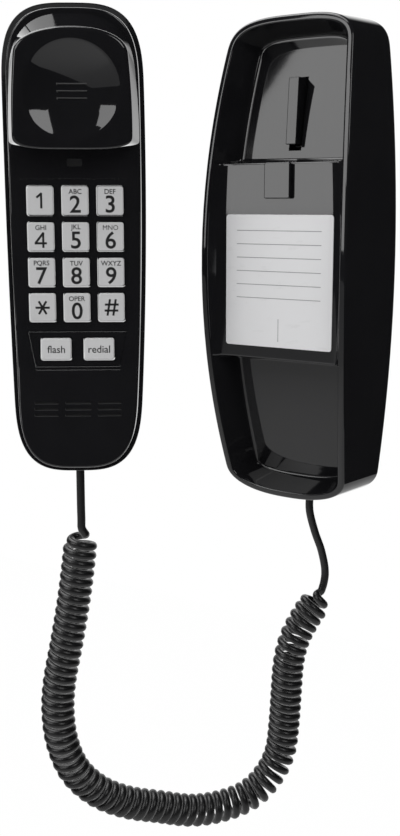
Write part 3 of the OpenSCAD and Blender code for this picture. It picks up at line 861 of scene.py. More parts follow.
def box_row(name: str, count: int, pitch: float, sides: Point, look: Look, place: Matrix) -> bpy.types.Object:
    """Grow a row of like boxes, one below the other.

    Args:
        name: The piece's name.
        count: How many boxes there are.
        pitch: How far apart they are.
        sides: Their sides along X, Y and Z.
        look: Their finish.
        place: Where the first one goes, from millimetres.

    Returns:
        The new object, at the origin.
    """
    tree = Grower(name, {"Count": count, "Pitch": pitch, **dict(zip("XYZ", sides))})
    shape = tree.node("GeometryNodeMeshCube", {}, {"Size": tree.vector(*map(tree.size, "XYZ"))})
    row = tree.node("GeometryNodeMeshLine", {}, {
        "Count": tree.size("Count"), "Offset": tree.vector(0.0, 0.0, 0 - tree.size("Pitch"))})
    return tree.grow(name, row, shape, look, [], place)


def screw_heads(name: str, spots: Sequence[Point], place: Matrix) -> bpy.types.Object:
    """Grow domed screw heads with cross recesses, whose axis is Z before they are put in place.

    Args:
        name: The piece's name.
        spots: The middles of the heads.
        place: Where they go, from millimetres.

    Returns:
        The new object, at the origin.
    """
    tree = Grower(name, {"Radius": 2.6, "Crown": 0.84, "Rise": 1.5, "Recess": 3.2, "Blade": 0.75})
    radius, crown, rise, recess, blade = map(tree.size, ("Radius", "Crown", "Rise", "Recess", "Blade"))
    head = tree.node("GeometryNodeMeshCone", {}, {
        "Vertices": 36, "Side Segments": 3, "Depth": rise,
        "Radius Top": radius * crown, "Radius Bottom": radius})
    blades = [tree.node("GeometryNodeMeshCube", {}, {"Size": tree.vector(across, along, rise)})
              for across, along in ((recess, blade), (blade, recess))]
    cross = tree.node("GeometryNodeMeshBoolean", {"operation": "UNION"}, {1: blades[0]})
    tree.tree.links.new(blades[1].socket, cross.socket.node.inputs[1])
    lifted = tree.node("GeometryNodeTransform", {}, {
        "Geometry": cross, "Translation": tree.vector(0.0, 0.0, rise)})
    driven = tree.node("GeometryNodeMeshBoolean", {"operation": "DIFFERENCE"}, {0: head, 1: lifted})
    return tree.grow(name, tree.size("Geometry"), driven, Look.STEEL, spots, place)


# Turns an axis from Z to Y, for what faces backwards
BACKWARD = Matrix(((-1, 0, 0, 0), (0, 0, 1, 0), (0, 1, 0, 0), (0, 0, 0, 1)))


@dataclass
class CurlyCord:
    """The curly cord that hangs between the two plugs."""

    # The two plugs in plan, and their heights
    start: Flat = (-68.9582, -99.2442)
    end: Flat = (0.4, -7.5)
    heights: Flat = (-92.25, -113.0)
    # Points that the middle line passes, across and up in the plane that it hangs in
    route: tuple[Flat, ...] = (
        (0, -110), (0, -120), (-1, -132), (-4, -154), (-8, -176), (-12, -196), (-13, -212), (-11, -228),
        (-5, -243), (6, -255), (20, -263), (36, -268), (54, -273), (71, -273), (85, -269), (95, -260),
        (101, -248), (103, -232), (104, -214), (105, -200), (108, -188), (114, -177), (121, -167),
        (124, -156), (122, -144), (118, -133))
    last_height: float = -122.0
    route_steps: int = 6
    lead: float = 28.0
    end_lead: float = 52.0
    lead_step: float = 4.0
    curl_in: float = 10.0
    curl_gap: float = 0.75
    curl_open: float = 0.8
    bend_span: float = 6.0
    diameter: float = 3.4
    fuller: float = 0.5
    curl_d: float = 15.6
    curl_step: float = 4.35
    curl_rings: int = 8
    finer: int = 3
    sides: int = 12

    def __post_init__(self) -> None:
        """Work out the middle line and its lengths."""
        across = Vector((self.end[0] - self.start[0], self.end[1] - self.start[1]))
        self.span = across.length
        self.way = across.normalized()
        self.curl_r = (self.curl_d - self.diameter) / 2
        self.line = smooth_line([Vector(p) for p in (
            (0.0, self.heights[0]), *self.route, (self.span, self.last_height), (self.span, self.heights[1]))],
            self.route_steps)
        self.lengths = [0.0]
        for a, b in zip(self.line, self.line[1:]):
            self.lengths.append(self.lengths[-1] + (b - a).length)
        self.total = self.lengths[-1]

    def _at(self, s: float) -> Vector:
        """Find a point of the middle line.

        Args:
            s: The length from its start.

        Returns:
            The point, across and up.
        """
        s = max(0.0, min(self.total, s))
        high = min(bisect(self.lengths, s), len(self.lengths) - 1)
        low = high - 1
        t = (s - self.lengths[low]) / (self.lengths[high] - self.lengths[low])
        return self.line[low].lerp(self.line[high], t)

    def _change(self, what: Callable[[float], Vector], s: float) -> Vector:
        """How much something changes over a short stretch round a length."""
        return what(min(s + self.bend_span, self.total)) - what(max(s - self.bend_span, 0))

    def _direction(self, s: float) -> Vector:
        """The middle line's direction at a length."""
        return self._change(self._at, s).normalized()

    def _share(self, s: float) -> float:
        """Find how far the cord is curled up.

        Args:
            s: The length from the middle line's start.

        Returns:
            The share of a full curl.
        """
        ease = [max(0.0, min(1.0, t)) for t in ((s - self.lead) / self.curl_in,
                                                (self.total - self.end_lead - s) / self.curl_in)]
        return math.prod(t * t * (3 - 2 * t) for t in ease)

    def _step(self, s: float) -> float:
        """Find the length of one curl, wider in bends and where the coil opens.

        Args:
            s: The length from the middle line's start.

        Returns:
            The curl's length along the middle line.
        """
        bent = self._change(self._direction, s).length / (2 * self.bend_span)
        return (max(self.curl_step, (self.diameter + self.curl_gap) / (1 - self.curl_r * bent))
                * (1 + (1 - self._share(s)) * self.curl_open))

    def _stations(self) -> list[tuple[float, float]]:
        """Walk along the middle line.

        Returns:
            Lengths from its start, each with the curl's angle.
        """
        stations = []
        s, a = 0.0, 0.0
        while s < self.total - self.lead_step / 2:
            stations.append((s, a))
            coiled = self.lead < s < self.total - self.end_lead
            a += math.tau / self.curl_rings if coiled else 0
            s += self._step(s) / self.curl_rings if coiled else self.lead_step
        stations.append((self.total, a))
        fine = []
        for (s0, a0), (s1, a1) in zip(stations, stations[1:]):
            fine += [(s0 + (s1 - s0) * k / self.finer, a0 + (a1 - a0) * k / self.finer)
                     for k in range(self.finer)]
        return fine + [stations[-1]]

    def _outward(self, s: float, a: float) -> Vector:
        """The way from the middle line to the cord: across, out of the hanging plane, up."""
        way = self._direction(s)
        return Vector((-way.y * math.cos(a), math.sin(a), way.x * math.cos(a)))

    def _placed(self, p: Vector) -> Vector:
        """A point of the hanging plane in the frame's metres."""
        return Vector((self.start[0] + self.way.x * p.x - self.way.y * p.y,
                       self.start[1] + self.way.y * p.x + self.way.x * p.y, p.z)) * MM

    def build(self) -> None:
        stations = self._stations()
        centres, outs = [], []
        for s, a in stations:
            p = self._at(s)
            outs.append(self._outward(s, a))
            centres.append(Vector((p.x, 0, p.y)) + outs[-1] * self.curl_r * self._share(s))
        skin = Skin()
        thick = self.diameter + self.fuller
        last = len(centres) - 1
        for i, centre in enumerate(centres):
            way = (centres[min(i + 1, last)] - centres[max(i - 1, 0)]).normalized()
            if i in (0, last):
                way = Vector((0, 0, 1 if i else -1))
            u = (outs[i] - way * outs[i].dot(way)).normalized()
            v = way.cross(u)
            skin.ring([tuple(self._placed(centre + (u * math.cos(b) + v * math.sin(b)) * thick / 2))
                       for b in (math.tau * k / self.sides for k in range(self.sides))])
        path = [self._placed(c) for c in centres]
        skin.fan(0, tuple(path[0]))
        skin.fan(-1, tuple(path[-1]))
        piece = skin.piece("curly_cord_tube", Matrix())
        smooth(piece)
        coat(piece.data, Look.CORD)
        piece.visible_glossy = False
        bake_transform(piece)
        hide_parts("curly_cord")


@dataclass
class Base:
    """The wall base: its cover with the tray, the card, the hook parts and the screws."""

    outline: Outline = Outline(77.0, 835.0, 0.0, 111.0, (16.0, 3.3), -111.0, (13.0, 2.4))
    rim_y: float = -46.0
    arch_r: float = 373.0
    draft: float = 1.0
    rim_w: float = 3.2
    rim_round: float = 1.2
    # The rim's inner edge: where its rounding starts and ends across, and how deep
    rim_inner: Point = (-0.9, 0.2, 1.0)
    back_round: float = 0.6
    plate_in: float = 1.4
    plate_y: float = -2.6
    shelf_top: float = 46.0
    shelf_bottom: float = -43.4
    shelf_y: float = -39.0
    pocket_drop: float = 16.5
    pocket_draft: float = 5.0
    shelf_draft: float = 3.0
    fillet: float = 1.5
    shelf_fillet: float = 6.0
    shelf_rise: float = 2.0
    step_round: float = 1.1
    step_lean: float = 1.0
    # The ends of a step's straight wall, as shares of its lean
    step_wall: Flat = (0.9, 0.05)
    wall_in: float = 0.5
    wall_tilt: float = 1.2
    lever_w: float = 5.5
    lever_round: float = 0.45
    # Depth and height of the lever's corners
    lever_side: tuple[Flat, ...] = (
        (-18.59, 54.0), (-29.79, 54.25), (-27.59, 84.0), (-16.64, 84.0), (-17.14, 56.9))
    # Width, lower end and upper end of its slot, and the depths between which that is cut
    lever_slot: Point = (6.6, 51.6, 84.6)
    lever_well: Flat = (-28.0, -6.0)
    # Width, height, middle and front of the tab
    tab: tuple[float, float, float, float] = (13.6, 16.0, 38.0, -41.4)
    tab_corner: float = 0.9
    tab_gap: float = 0.25
    tab_round: float = 0.5
    # Width, height and middle of the card
    card: Point = (57.0, 60.5, -7.35)
    card_t: float = 0.4
    card_corner: float = 1.4
    card_round: float = 0.1
    # How many ruled lines there are, how far apart, and the first one's height from the card's middle
    rules: tuple[int, float, float] = (6, 6.15, 23.0)
    rule: Point = (45.0, 0.04, 0.32)
    # The upright line's place from the card's middle, its width and its height
    mark: tuple[float, float, float, float] = (0.4, -22.3, 0.32, 10.5)
    jack_x: Flat = (0.4, -13.2)
    jack_y: float = -7.5
    # Height, width, length and half depth of the plugs' way in and of the jacks' room
    jack_wells: tuple[tuple[float, float, float, float], ...] = (
        (-111.0, 7.0, 18.2, 3.0), (-95.45, 12.3, 13.3, 4.7))
    screws: Flat = (24.0, 29.0)
    screw_y: float = -1.1

    def rim_at(self, z: float) -> float:
        """Depth of the arched rim at a height."""
        return self.rim_y + z * z / (2 * self.arch_r)

    def build(self) -> None:
        """Make and dress every piece of the base."""
        self._cover()
        self._card()
        self._lever()
        self._tab()
        x, z = self.screws
        heads = screw_heads("base_screw_heads", [(a * x, b * z, 0) for a in (-1, 1) for b in (-1, 1)],
                            TO_METRES @ Matrix.Translation((0, self.screw_y, 0)) @ BACKWARD)
        dress(heads, "base", Look.STEEL, ["base_screws"])

    def pocket_at(self, z: float) -> float:
        """Depth of the pockets' floors, parallel to the rim."""
        return self.rim_at(z) + self.pocket_drop

    def _floor(self) -> list[Flat]:
        """Go down the tray's floor, its two steps leaning and rounded.

        Returns:
            Heights, each with the floor's depth.
        """
        r, f, shelf = self.step_round, self.fillet, self.shelf_y
        foot = self.step_lean
        low_wall, high_wall = (share * foot for share in self.step_wall)
        start, end = self.outline.between()
        upper, lower = self.shelf_top, self.shelf_bottom
        down = [(z, self.pocket_at(z)) for z in spread(start, upper + foot + f, 12)]
        deep = self.pocket_at(upper)
        down += bend(down.pop(), (upper + foot, deep), (upper + low_wall, deep - f))
        down += bend((upper + high_wall, shelf + r), (upper, shelf), (upper - r, shelf))
        down += [(z, shelf) for z in spread(upper - r, lower + r, 10)[1:-1]]
        down += bend((lower + r, shelf), (lower, shelf), (lower - high_wall, shelf + r))
        deep, last = self.pocket_at(lower), lower - foot - f
        down += bend((lower - low_wall, deep - f), (lower - foot, deep), (last, self.pocket_at(last)))
        return down + [(z, self.pocket_at(z)) for z in spread(last, end, 12)[1:]]

    def _cover(self) -> None:
        """The cover: back recess, outer wall, arched rim, and the tray with its shelf and two pockets."""
        floor = self._floor()
        heights = [z for z, _ in floor]
        lift = self.pocket_draft - self.shelf_draft
        leans = [lift * (y - self.pocket_at(z)) / (self.pocket_at(z) - self.shelf_y) for z, y in floor]
        steps = self.outline.end_steps
        skin = Skin()
        r, edge, out, inner = self.rim_round, self.back_round, -self.draft, self.rim_w
        before, past, down = self.rim_inner
        for inset, y in ((self.plate_in, self.plate_y), (self.plate_in, 0.0),
                         *bend((out + edge, 0.0), (out, 0.0), (out, -edge), 4)):
            skin.wall(self.outline.side(inset, heights), lambda z: y)
        for inset, y in (*bend((0.0, r), (0.0, 0.0), (r, 0.0), 7),
                         *bend((inner + before, 0.0), (inner, 0.0), (inner + past, down))):
            skin.wall(self.outline.side(inset, heights), lambda z: self.rim_at(z) + y)
        f, wide, deep = self.fillet, self.shelf_fillet, inner + self.pocket_draft
        shelf = [-lean / lift for lean in leans]
        for (inset, y), (far, high), (tilt, _) in zip(
                bend((deep - self.wall_in, -f), (deep, 0.0), (deep + f, 0.0), 8),
                bend((deep - self.wall_in, -self.shelf_rise), (deep, 0.0), (deep + wide, 0.0), 8),
                bend((self.wall_tilt, 0.0), (1.0, 0.0), (1.0, 0.0), 8)):
            side = self.outline.side(inset, heights, [
                lean * tilt + (far - inset) * share for lean, share in zip(leans, shelf)])
            floors = [self.pocket_at(z) for _, z in side]
            floors[steps:-steps] = [depth for _, depth in floor]
            lifts = [y] * len(side)
            lifts[steps:-steps] = [y + (high - y) * share for share in shelf]
            skin.side_ring(side, [depth + up for depth, up in zip(floors, lifts)])
        skin.close(0)
        skin.close(-1)
        cover = skin.piece("base_cover_skin")
        well = Blocks()
        width, low, high = self.lever_slot
        well.box(0, (low + high) / 2, width, high - low, *self.lever_well)
        for x in self.jack_x:
            for z, width, height, half in self.jack_wells:
                well.box(x, z, width, height, self.jack_y - half, self.jack_y + half)
        cut(cover, well.piece("well"))
        smooth(cover)
        dress(cover, "base", Look.SHELL, ["base_cover"])

    def _card(self) -> None:
        """The index card with its ruled lines, left bare of words."""
        width, height, z = self.card
        front = self.shelf_y - self.card_t
        block = Blocks()
        block.slab(rounded_loop(0, z, width, height, self.card_corner), lambda _: front, lambda _: self.shelf_y)
        card = block.piece("index_card_sheet")
        bevel(card, self.card_round, 2)
        dress(card, "base", Look.CARD, ["index_card"])
        count, pitch, up = self.rules
        lines = box_row("index_card_rules", count, pitch, self.rule, Look.RULE,
                        TO_METRES @ Matrix.Translation((0, front, z + up)))
        dress(lines, "base", Look.RULE)
        block = Blocks()
        x, up, width, height = self.mark
        block.box(x, z + up, width, height, front - self.rule[1] / 2, front + 0.1)
        dress(block.piece("index_card_mark"), "base", Look.RULE)

    def _lever(self) -> None:
        """The hook lever, a flat upright plate."""
        block = Blocks()
        half = self.lever_w / 2
        block.prism([(-half, y, z) for y, z in self.lever_side], [(half, y, z) for y, z in self.lever_side])
        lever = block.piece("hook_lever_plate")
        bevel(lever, self.lever_round, 4)
        dress(lever, "hook_lever", Look.SHELL, ["hook_lever"])

    def _tab(self) -> None:
        """The hook tab that slides on the shelf."""
        width, height, z, front = self.tab
        block = Blocks()
        block.slab(rounded_loop(0, z, width, height, self.tab_corner),
                   lambda _: front, lambda _: self.shelf_y - self.tab_gap)
        tab = block.piece("hook_tab_plate")
        bevel(tab, self.tab_round, 4)
        dress(tab, "hook_tab", Look.SHELL, ["hook_tab"])


@dataclass(frozen=True)
class Key:
    """One key: its body, its place on the handset's face, its size and its legends."""

    name: str
    x: float
    z: float
    width: float
    height: float
    legend: str
    letters: str = ""
    legend_size: float = 10.6
    letter_size: float = 3.0


# Legends that are drawn in straight strokes, from their middles
STROKES: dict[str, Strokes] = {
    "1": (((0.5, -3.4), (0.5, 3.4)), ((0.7, 3.3), (-1.6, 1.3))),
    "4": (((1.0, -3.4), (1.0, 3.4)), ((1.2, 3.3), (-2.6, -1.5)), ((-2.8, -1.4), (2.6, -1.4))),
    "*": (((-3.2, 0.0), (3.2, 0.0)), ((-1.7, 2.9), (1.7, -2.9)), ((1.7, 2.9), (-1.7, -2.9))),
    "#": (((-1.9, -3.7), (-0.7, 3.7)), ((0.7, -3.7), (1.9, 3.7)), ((-3.0, 1.3), (3.2, 1.3)),
          ((-3.2, -1.4), (3.0, -1.4))),
}


@dataclass
class Handset:
    """The handset: front and back shells, keypad and screws, made in its own frame and put in place."""

    outline: Outline = Outline(62.8, 2000.0, 25.0, 101.75, (36.0, 3.3), -101.75, (36.0, 3.3))
    ear_foot: Outline = Outline(58.2, 320.0, 50.0, 99.55, (33.0, 3.1), 42.7, (2.5, 4.0))
    ear_head: Outline = Outline(51.8, 320.0, 50.0, 91.4, (11.0, 2.25), 41.0, (7.0, 4.0))
    turn: float = 38.0
    origin: Point = (-69.5738, -98.4562, 10.0)
    arch_r: float = 373.0
    seam_back: float = 4.0
    shell_step: float = 2.0
    # The back shell's side: insets, each with the distance behind the seam
    back_line: tuple[Flat, ...] = ((0.0, 0.5), (0.4, 7.6), (2.0, 13.0), (6.0, 17.2), (13.0, 19.0))
    back_edge: float = 0.5
    seam_gap: float = 0.1
    # The face's edge: insets, each with the share of the way from the seam to the face
    face_edge: tuple[Flat, Flat, Flat] = ((2.25, 0.7), (2.45, 1.0), (3.7, 1.0))
    face_soft: float = 1.4
    spigot_in: float = 5.0
    spigot_l: float = 6.0
    spigot_gap: float = 0.2
    ear_bottom: float = 41.0
    ear_skirt: float = 11.8
    ear_rise: float = 15.5
    ear_tilt: float = 0.0875
    # Width and height of the rounding round the ear block's face
    ear_round: Flat = (2.3, 2.6)
    # Shares of that rounding: its height at the lower edge and at the top, and its width at the lower edge
    ear_round_share: Flat = (0.15, 1.3)
    ear_round_low: float = 0.2
    foot_gap: float = 0.2
    dish_r: float = 20.8
    dish_d: float = 5.4
    dish_z: float = 65.2
    dish_edge: float = 0.9
    # How many sound slots there are and how far apart, and their sides
    sound_slots: tuple[int, float] = (3, 3.0)
    sound_slot: Point = (13.0, 9.0, 0.9)
    # Upper end, lower end and rise of the ramp
    ramp: Point = (-38.0, -54.4, 3.0)
    mouth_rise: float = 16.0
    mic_z: float = -73.5
    # Place and width of the microphone slots in a row, and the rows' heights from mic_z
    mic_slots: tuple[Flat, ...] = ((-14.2, 10.6), (0.0, 11.6), (14.2, 10.6))
    mic_rows: Point = (-2.7, 0.0, 2.7)
    # Height, corner and depth of one slot
    mic_slot: Point = (1.2, 0.3, 1.2)
    # Middle, width, height and corner of the catch mark
    catch: tuple[float, float, float, float] = (35.6, 6.6, 3.2, 0.4)
    catch_d: float = 0.6
    grooves: Strokes = (
        ((-24.0, 28.4), (24.0, 28.4)), ((-22.0, -39.2), (22.0, -39.2)), ((-22.0, -39.6), (-19.0, -54.4)),
        ((22.0, -39.6), (19.0, -54.4)), ((-19.0, -54.8), (19.0, -54.8)), ((-19.0, -56.2), (19.0, -56.2)))
    groove_w: float = 0.4
    groove_d: float = 0.22
    # How far the cutters stand out of the face
    clear: float = 1.0
    well_clear: float = 3.0
    key_top: float = 19.1
    key_pitch: Flat = (15.5, 15.8)
    key_size: Flat = (11.6, 12.6)
    key_proud: float = 1.4
    key_depth: float = 2.9
    key_corner: float = 1.1
    key_taper: float = 0.6
    key_edge: Flat = (0.6, 0.7)
    key_gap: float = 0.4
    well_corner: float = 1.2
    well_y: float = 4.2
    function_place: Flat = (9.7, -47.0)
    function_size: Flat = (13.4, 9.5)
    function_print: float = 4.6
    digit_drop: float = 1.5
    letters_up: float = 4.0
    stroke_w: float = 0.95
    stroke_up: float = 0.04
    stroke_sink: float = 0.1
    digit_bold: float = 0.13
    word_bold: float = 0.03
    ink_t: float = 0.03
    ink_lift: float = 0.012
    screws: tuple[Flat, ...] = ((-18.0, 88.0), (18.0, 88.0), (-16.0, -84.0), (16.0, -84.0))
    screw_well_r: float = 2.85
    screw_well_l: float = 40.0
    screw_y: float = 6.8
    # Width, height, front and back of the plug's opening
    plug_way: tuple[float, float, float, float] = (7.0, 14.0, -4.0, 2.0)

    def __post_init__(self) -> None:
        """Lay out the keys: four rows of three, and two function keys below them."""
        letters = dict(zip("234567890", ("ABC", "DEF", "GHI", "JKL", "MNO", "PQRS", "TUV", "WXYZ", "OPER")))
        names = {"*": "star", "#": "hash"}
        across, down = self.key_pitch
        self.keys = [Key(f"key_{names.get(legend, legend)}", (i % 3 - 1) * across, self.key_top - i // 3 * down,
                         *self.key_size, legend, letters.get(legend, ""))
                     for i, legend in enumerate("123456789*0#")]
        x, z = self.function_place
        self.keys += [Key(f"key_{word}", side * x, z, *self.function_size, word,
                          legend_size=self.function_print) for side, word in ((-1, "flash"), (1, "redial"))]

    @property
    def place(self) -> Matrix:
        """From millimetres in the handset's own frame to metres in the object's."""
        return TO_METRES @ Matrix.Translation(self.origin) @ Matrix.Rotation(math.radians(self.turn), 4, "Z")

    def seam_at(self, z: float) -> float:
        """Depth of the seam between the shells."""
        return self.seam_back - z * z / (2 * self.arch_r)

    def face_at(self, z: float) -> float:
        """Depth of the front face, its corners softened."""
        return sum(self._face(z + dz) for dz in spread(-self.face_soft, self.face_soft, 5)) / 5

    def _face(self, z: float) -> float:
        """Find the depth of the front face: ear skirt, flat, ramp and mouth end.

        Args:
            z: The height.

        Returns:
            The depth there, before its corners are softened.
        """
        top, low, rise = self.ramp
        if z > self.ear_bottom:
            return -self.ear_skirt * (z - self.ear_bottom) / (self.outline.top - self.ear_bottom)
        if z > top:
            return 0.0
        if z > low:
            return -rise * (top - z) / (top - low)
        return -rise - (self.mouth_rise - rise) * (low - z) / (low - self.outline.low)

    def build(self) -> None:
        """Make and dress every piece of the handset."""
        self._front()
        self._ear()
        self._back()
        for key in self.keys:
            self._key(key)
        spots = [(-x, z, self.seam_at(z) + self.screw_y) for x, z in self.screws]
        heads = screw_heads("handset_screw_heads", spots, self.place @ BACKWARD)
        dress(heads, "handset", Look.STEEL, ["handset_screws"])

    def _heights(self) -> list[float]:
        """Go down the sides, in closer steps at the ramp's ends.

        Returns:
            Heights from the upper arc's end to the lower arc's start.
        """
        top, low, _ = self.ramp
        ear, soft = self.ear_bottom, self.face_soft
        start, end = self.outline.between()
        return [start, *spread(ear + 21, ear + 3, 4), *spread(ear - 1, top + 3, 10),
                *spread(top + soft, top - soft, 5), *spread(top - 4, low + 3, 4),
                *spread(low + soft, low - 1.0, 5), end]

    def _front(self) -> None:
        """The front shell's face with key wells, microphone slots, catch mark and grooves."""
        heights = self._heights()
        skin = Skin()
        for inset, back in ((self.spigot_in, self.spigot_l), (self.spigot_in, -self.seam_gap),
                            (self.shell_step, -self.seam_gap)):
            skin.wall(self.outline.side(inset, heights), lambda z: self.seam_at(z) + back)
        for inset, t in bend(*self.face_edge):
            skin.wall(self.outline.side(inset, heights),
                      lambda z: self.seam_at(z) * (1 - t) + self.face_at(z) * t)
        skin.close(0)
        skin.close(-1)
        front = skin.piece("handset_front_skin", self.place)
        wells = Blocks()
        for key in self.keys:
            width, height = key.width + 2 * self.key_gap, key.height + 2 * self.key_gap
            wells.slab(rounded_loop(key.x, key.z, width, height, self.well_corner),
                       lambda z: self.face_at(z) - self.well_clear, lambda _: self.well_y)
        for start, end in self.grooves:
            wells.bar(start, end, self.groove_w, self.face_at, self.clear, self.groove_d)
        slots = Blocks()
        height, corner, deep = self.mic_slot
        for x, width in self.mic_slots:
            for dz in self.mic_rows:
                slots.slab(rounded_loop(x, self.mic_z + dz, width, height, corner),
                           lambda z: self.face_at(z) - self.clear, lambda z: self.face_at(z) + deep)
        slots.slab(rounded_loop(0, *self.catch), lambda _: -self.clear, lambda _: self.catch_d)
        coat(front.data, Look.SHELL)
        cut(front, wells.piece("wells", self.place))
        cut(front, slots.piece("slots", self.place), Look.RUBBER)
        smooth(front)
        dress(front, "handset", Look.SHELL, ["handset_front_shell"])

    def _ear(self) -> None:
        """The ear block: sloped sides, a plateau, and the dish with its sound slots."""
        foot, head = self.ear_foot, self.ear_head
        top, corner = head.between()
        foot_side = foot.side(0.0, spread(*foot.between(), 9))
        skin = Skin()
        skin.wall(foot_side, lambda z: self.seam_at(z) - self.foot_gap)
        width, height = self.ear_round
        low_share, top_share = self.ear_round_share
        for inset, y in bend((0.0, height), (0.0, 0.0), (width, 0.0), 8):
            drop = (1 - self.ear_round_low) * inset / head.low_arc[0]
            side = [(x, z - drop * max(0.0, corner - z)) for x, z in head.side(inset, spread(top, corner, 9))]
            skin.wall(side, lambda z: y * (low_share + (top_share - low_share) * (z - head.low) / (
                head.top - head.low)) - self.ear_rise - self.ear_tilt * (z - self.dish_z))
        rim = [skin.points[i] for i in skin.rings[-1]]
        ways = [Vector((x, z - self.dish_z)).normalized() for x, _, z in rim]
        ball_r = (self.dish_r ** 2 + self.dish_d ** 2) / (2 * self.dish_d)
        lean = Matrix.Rotation(math.atan(self.ear_tilt), 3, "X")

        def sunk(r: float) -> float:
            """How far the dish lies behind the plateau at a distance from its middle."""
            return self.dish_d - ball_r + math.sqrt(ball_r ** 2 - r ** 2)

        def dish_point(x: float, y: float, z: float) -> Point:
            """A point of the dish, from the leaning plateau's frame."""
            return tuple(Vector((0.0, -self.ear_rise, self.dish_z)) + lean @ Vector((x, y, z)))

        edge, soft = self.dish_r, self.dish_edge
        profile = bend((edge + soft, 0.0), (edge, 0.0), (edge - soft, sunk(edge - soft)))
        profile += [(r, sunk(r)) for r in spread(edge - 2.0, 1.0, 16)]
        for r, y in profile:
            skin.ring([dish_point(way.x * r, y, way.y * r) for way in ways])
        skin.fan(-1, dish_point(0.0, self.dish_d, 0.0))
        skin.close(0)
        ear = skin.piece("handset_ear_block", self.place)
        count, pitch = self.sound_slots
        slots = box_row("slots", count, pitch, self.sound_slot, Look.SHELL, self.place @ Matrix.Translation(
            (0.0, self.dish_d - self.ear_rise, self.dish_z + pitch)))
        coat(ear.data, Look.SHELL)
        cut(ear, slots, Look.RUBBER)
        smooth(ear)
        dress(ear, "handset", Look.SHELL)

    def _back(self) -> None:
        """The back shell: the seam's ledge, rounded sides, screw wells and the plug's opening."""
        heights = self._heights()
        skin = Skin()
        inner, edge = self.spigot_in - self.spigot_gap, self.back_edge
        for inset, back in ((inner, self.spigot_l + 1), (inner, 0.0),
                            *bend((edge, 0.0), (0.0, 0.0), (0.0, edge), 5),
                            *smooth_line([Vector(p) for p in self.back_line], 6)[1:]):
            skin.wall(self.outline.side(inset, heights), lambda z: self.seam_at(z) + back)
        skin.close(0)
        skin.close(-1)
        shell = skin.piece("handset_back_skin", self.place)
        wells = Blocks()
        for x, z in self.screws:
            seam = self.seam_at(z)
            wells.rod(x, z, self.screw_well_r, seam + self.spigot_l, seam + self.screw_well_l)
        wells.box(0, self.outline.low, *self.plug_way)
        cut(shell, wells.piece("wells", self.place))
        smooth(shell)
        dress(shell, "handset", Look.SHELL, ["handset_back_shell"])

    def _key(self, key: Key) -> None:
        """One key cap with rounded edges and its printed legends.

        Args:
            key: The key.
        """
        def top(z: float) -> float:
            """Depth of the key's top."""
            return (self.face_at(z) if key.z < self.ramp[0] else 0.0) - self.key_proud

        skin = Skin()
        width, height = self.key_edge
        for inset, down in ((0.0, self.key_depth), *bend((0.0, height), (0.0, 0.0), (width, 0.0), 5)):
            loop = rounded_loop(key.x, key.z, key.width - 2 * inset, key.height - 2 * inset,
                                self.key_corner - inset * self.key_taper)
            skin.ring([(x, top(z) + down, z) for x, z in loop])
        skin.fan(0, (key.x, top(key.z) + self.key_depth, key.z))
        skin.fan(-1, (key.x, top(key.z), key.z))
        piece = skin.piece(f"{key.name}_cap", self.place)
        smooth(piece)
        coat(piece.data, Look.KEY, Look.INK)
        build = bmesh.new()
        build.from_mesh(piece.data)
        rows = [(key.legend, key.legend_size, -self.digit_drop if key.letters else 0.0)]
        if key.letters:
            rows.append((key.letters, key.letter_size, self.letters_up))
        for words, size, up in rows:
            if words in STROKES:
                self._strokes(build, STROKES[words], key, key.z + up, top)
            else:
                self._print(build, words, size, key, key.z + up, top)
        build.to_mesh(piece.data)
        build.free()
        dress(piece, key.name, Look.KEY, [key.name])

    def _strokes(self, build: bmesh.types.BMesh, strokes: Strokes, key: Key, z: float, top: Depth) -> None:
        """Add a legend of straight strokes to a key, lying on its top.

        Args:
            build: The key's mesh.
            strokes: The strokes, from the legend's middle.
            key: The key.
            z: The height of the legend's middle.
            top: Depth of the key's top by height.
        """
        ink = Blocks()
        for (x0, z0), (x1, z1) in strokes:
            ink.bar((key.x + x0, z + z0), (key.x + x1, z + z1), self.stroke_w, top,
                    self.stroke_up, self.stroke_sink)
        self._ink(build, ink.mesh("legend", self.place))

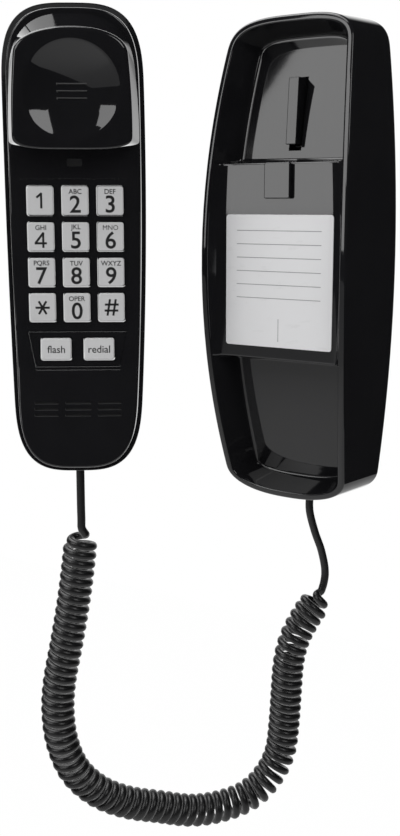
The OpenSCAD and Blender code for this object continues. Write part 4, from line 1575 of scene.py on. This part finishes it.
    def _ink(self, build: bmesh.types.BMesh, mesh: bpy.types.Mesh) -> None:
        """Add a legend to a key, in ink.

        Args:
            build: The key's mesh.
            mesh: The legend's mesh, which is deleted.
        """
        start = len(build.faces)
        build.from_mesh(mesh)
        build.faces.ensure_lookup_table()
        for face in build.faces[start:]:
            face.material_index = 1
        bpy.data.meshes.remove(mesh)

    def _print(self, build: bmesh.types.BMesh, words: str, size: float, key: Key, z: float, top: Depth) -> None:
        """Add a legend's ink to a key, lying on its top.

        Args:
            build: The key's mesh.
            words: The legend.
            size: Its letter size.
            key: The key.
            z: The height of the legend's middle.
            top: Depth of the key's top by height.
        """
        curve = bpy.data.curves.new("legend", "FONT")
        curve.body = words
        curve.size = size
        curve.resolution_u = 4
        curve.extrude = self.ink_t
        # An M closes up when its strokes are thickened.
        curve.offset = self.digit_bold if words.isdigit() else 0.0 if "M" in words else self.word_bold
        text = linked("legend", curve)
        bpy.context.view_layer.update()
        mesh = bpy.data.meshes.new_from_object(text.evaluated_get(bpy.context.evaluated_depsgraph_get()))
        bpy.data.objects.remove(text)
        middle = [(min(line) + max(line)) / 2 for line in zip(*(vertex.co.xy for vertex in mesh.vertices))]
        for vertex in mesh.vertices:
            u, v, w = vertex.co
            up = z + v - middle[1]
            vertex.co = self.place @ Vector((key.x + u - middle[0], top(up) - self.ink_lift - w, up))
        self._ink(build, mesh)


def finish_inner_parts() -> None:
    """Give every CAD node that stays its finish."""
    looks = {
        Look.PLATE: ("base_back_plate", "hook_switch", "line_jack", "base_cord_jack", "handset_cord_jack",
                     "receiver"),
        Look.STEEL: ("hook_lever_pin", "microphone"),
        Look.BRASS: ("ringer",),
        Look.BOARD: ("base_circuit_board", "handset_circuit_board"),
        Look.CORD: ("cord_plug_base", "cord_plug_handset"),
        Look.RUBBER: ("receiver_gasket", "microphone_boot", "key_membrane"),
    }
    for look, names in looks.items():
        for name in names:
            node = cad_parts[name]
            node.visible_glossy = False
            coat(node.data, look)
            LOG.info("%s keeps its solid, in %s", name, look.value.name)


def main() -> None:
    """Build the scene."""
    logging.basicConfig(level=logging.INFO, format="%(name)s: %(message)s")
    Camera().build()
    CurlyCord().build()
    Base().build()
    Handset().build()
    finish_inner_parts()
    Studio().build()


if __name__ == "__main__":
    main()
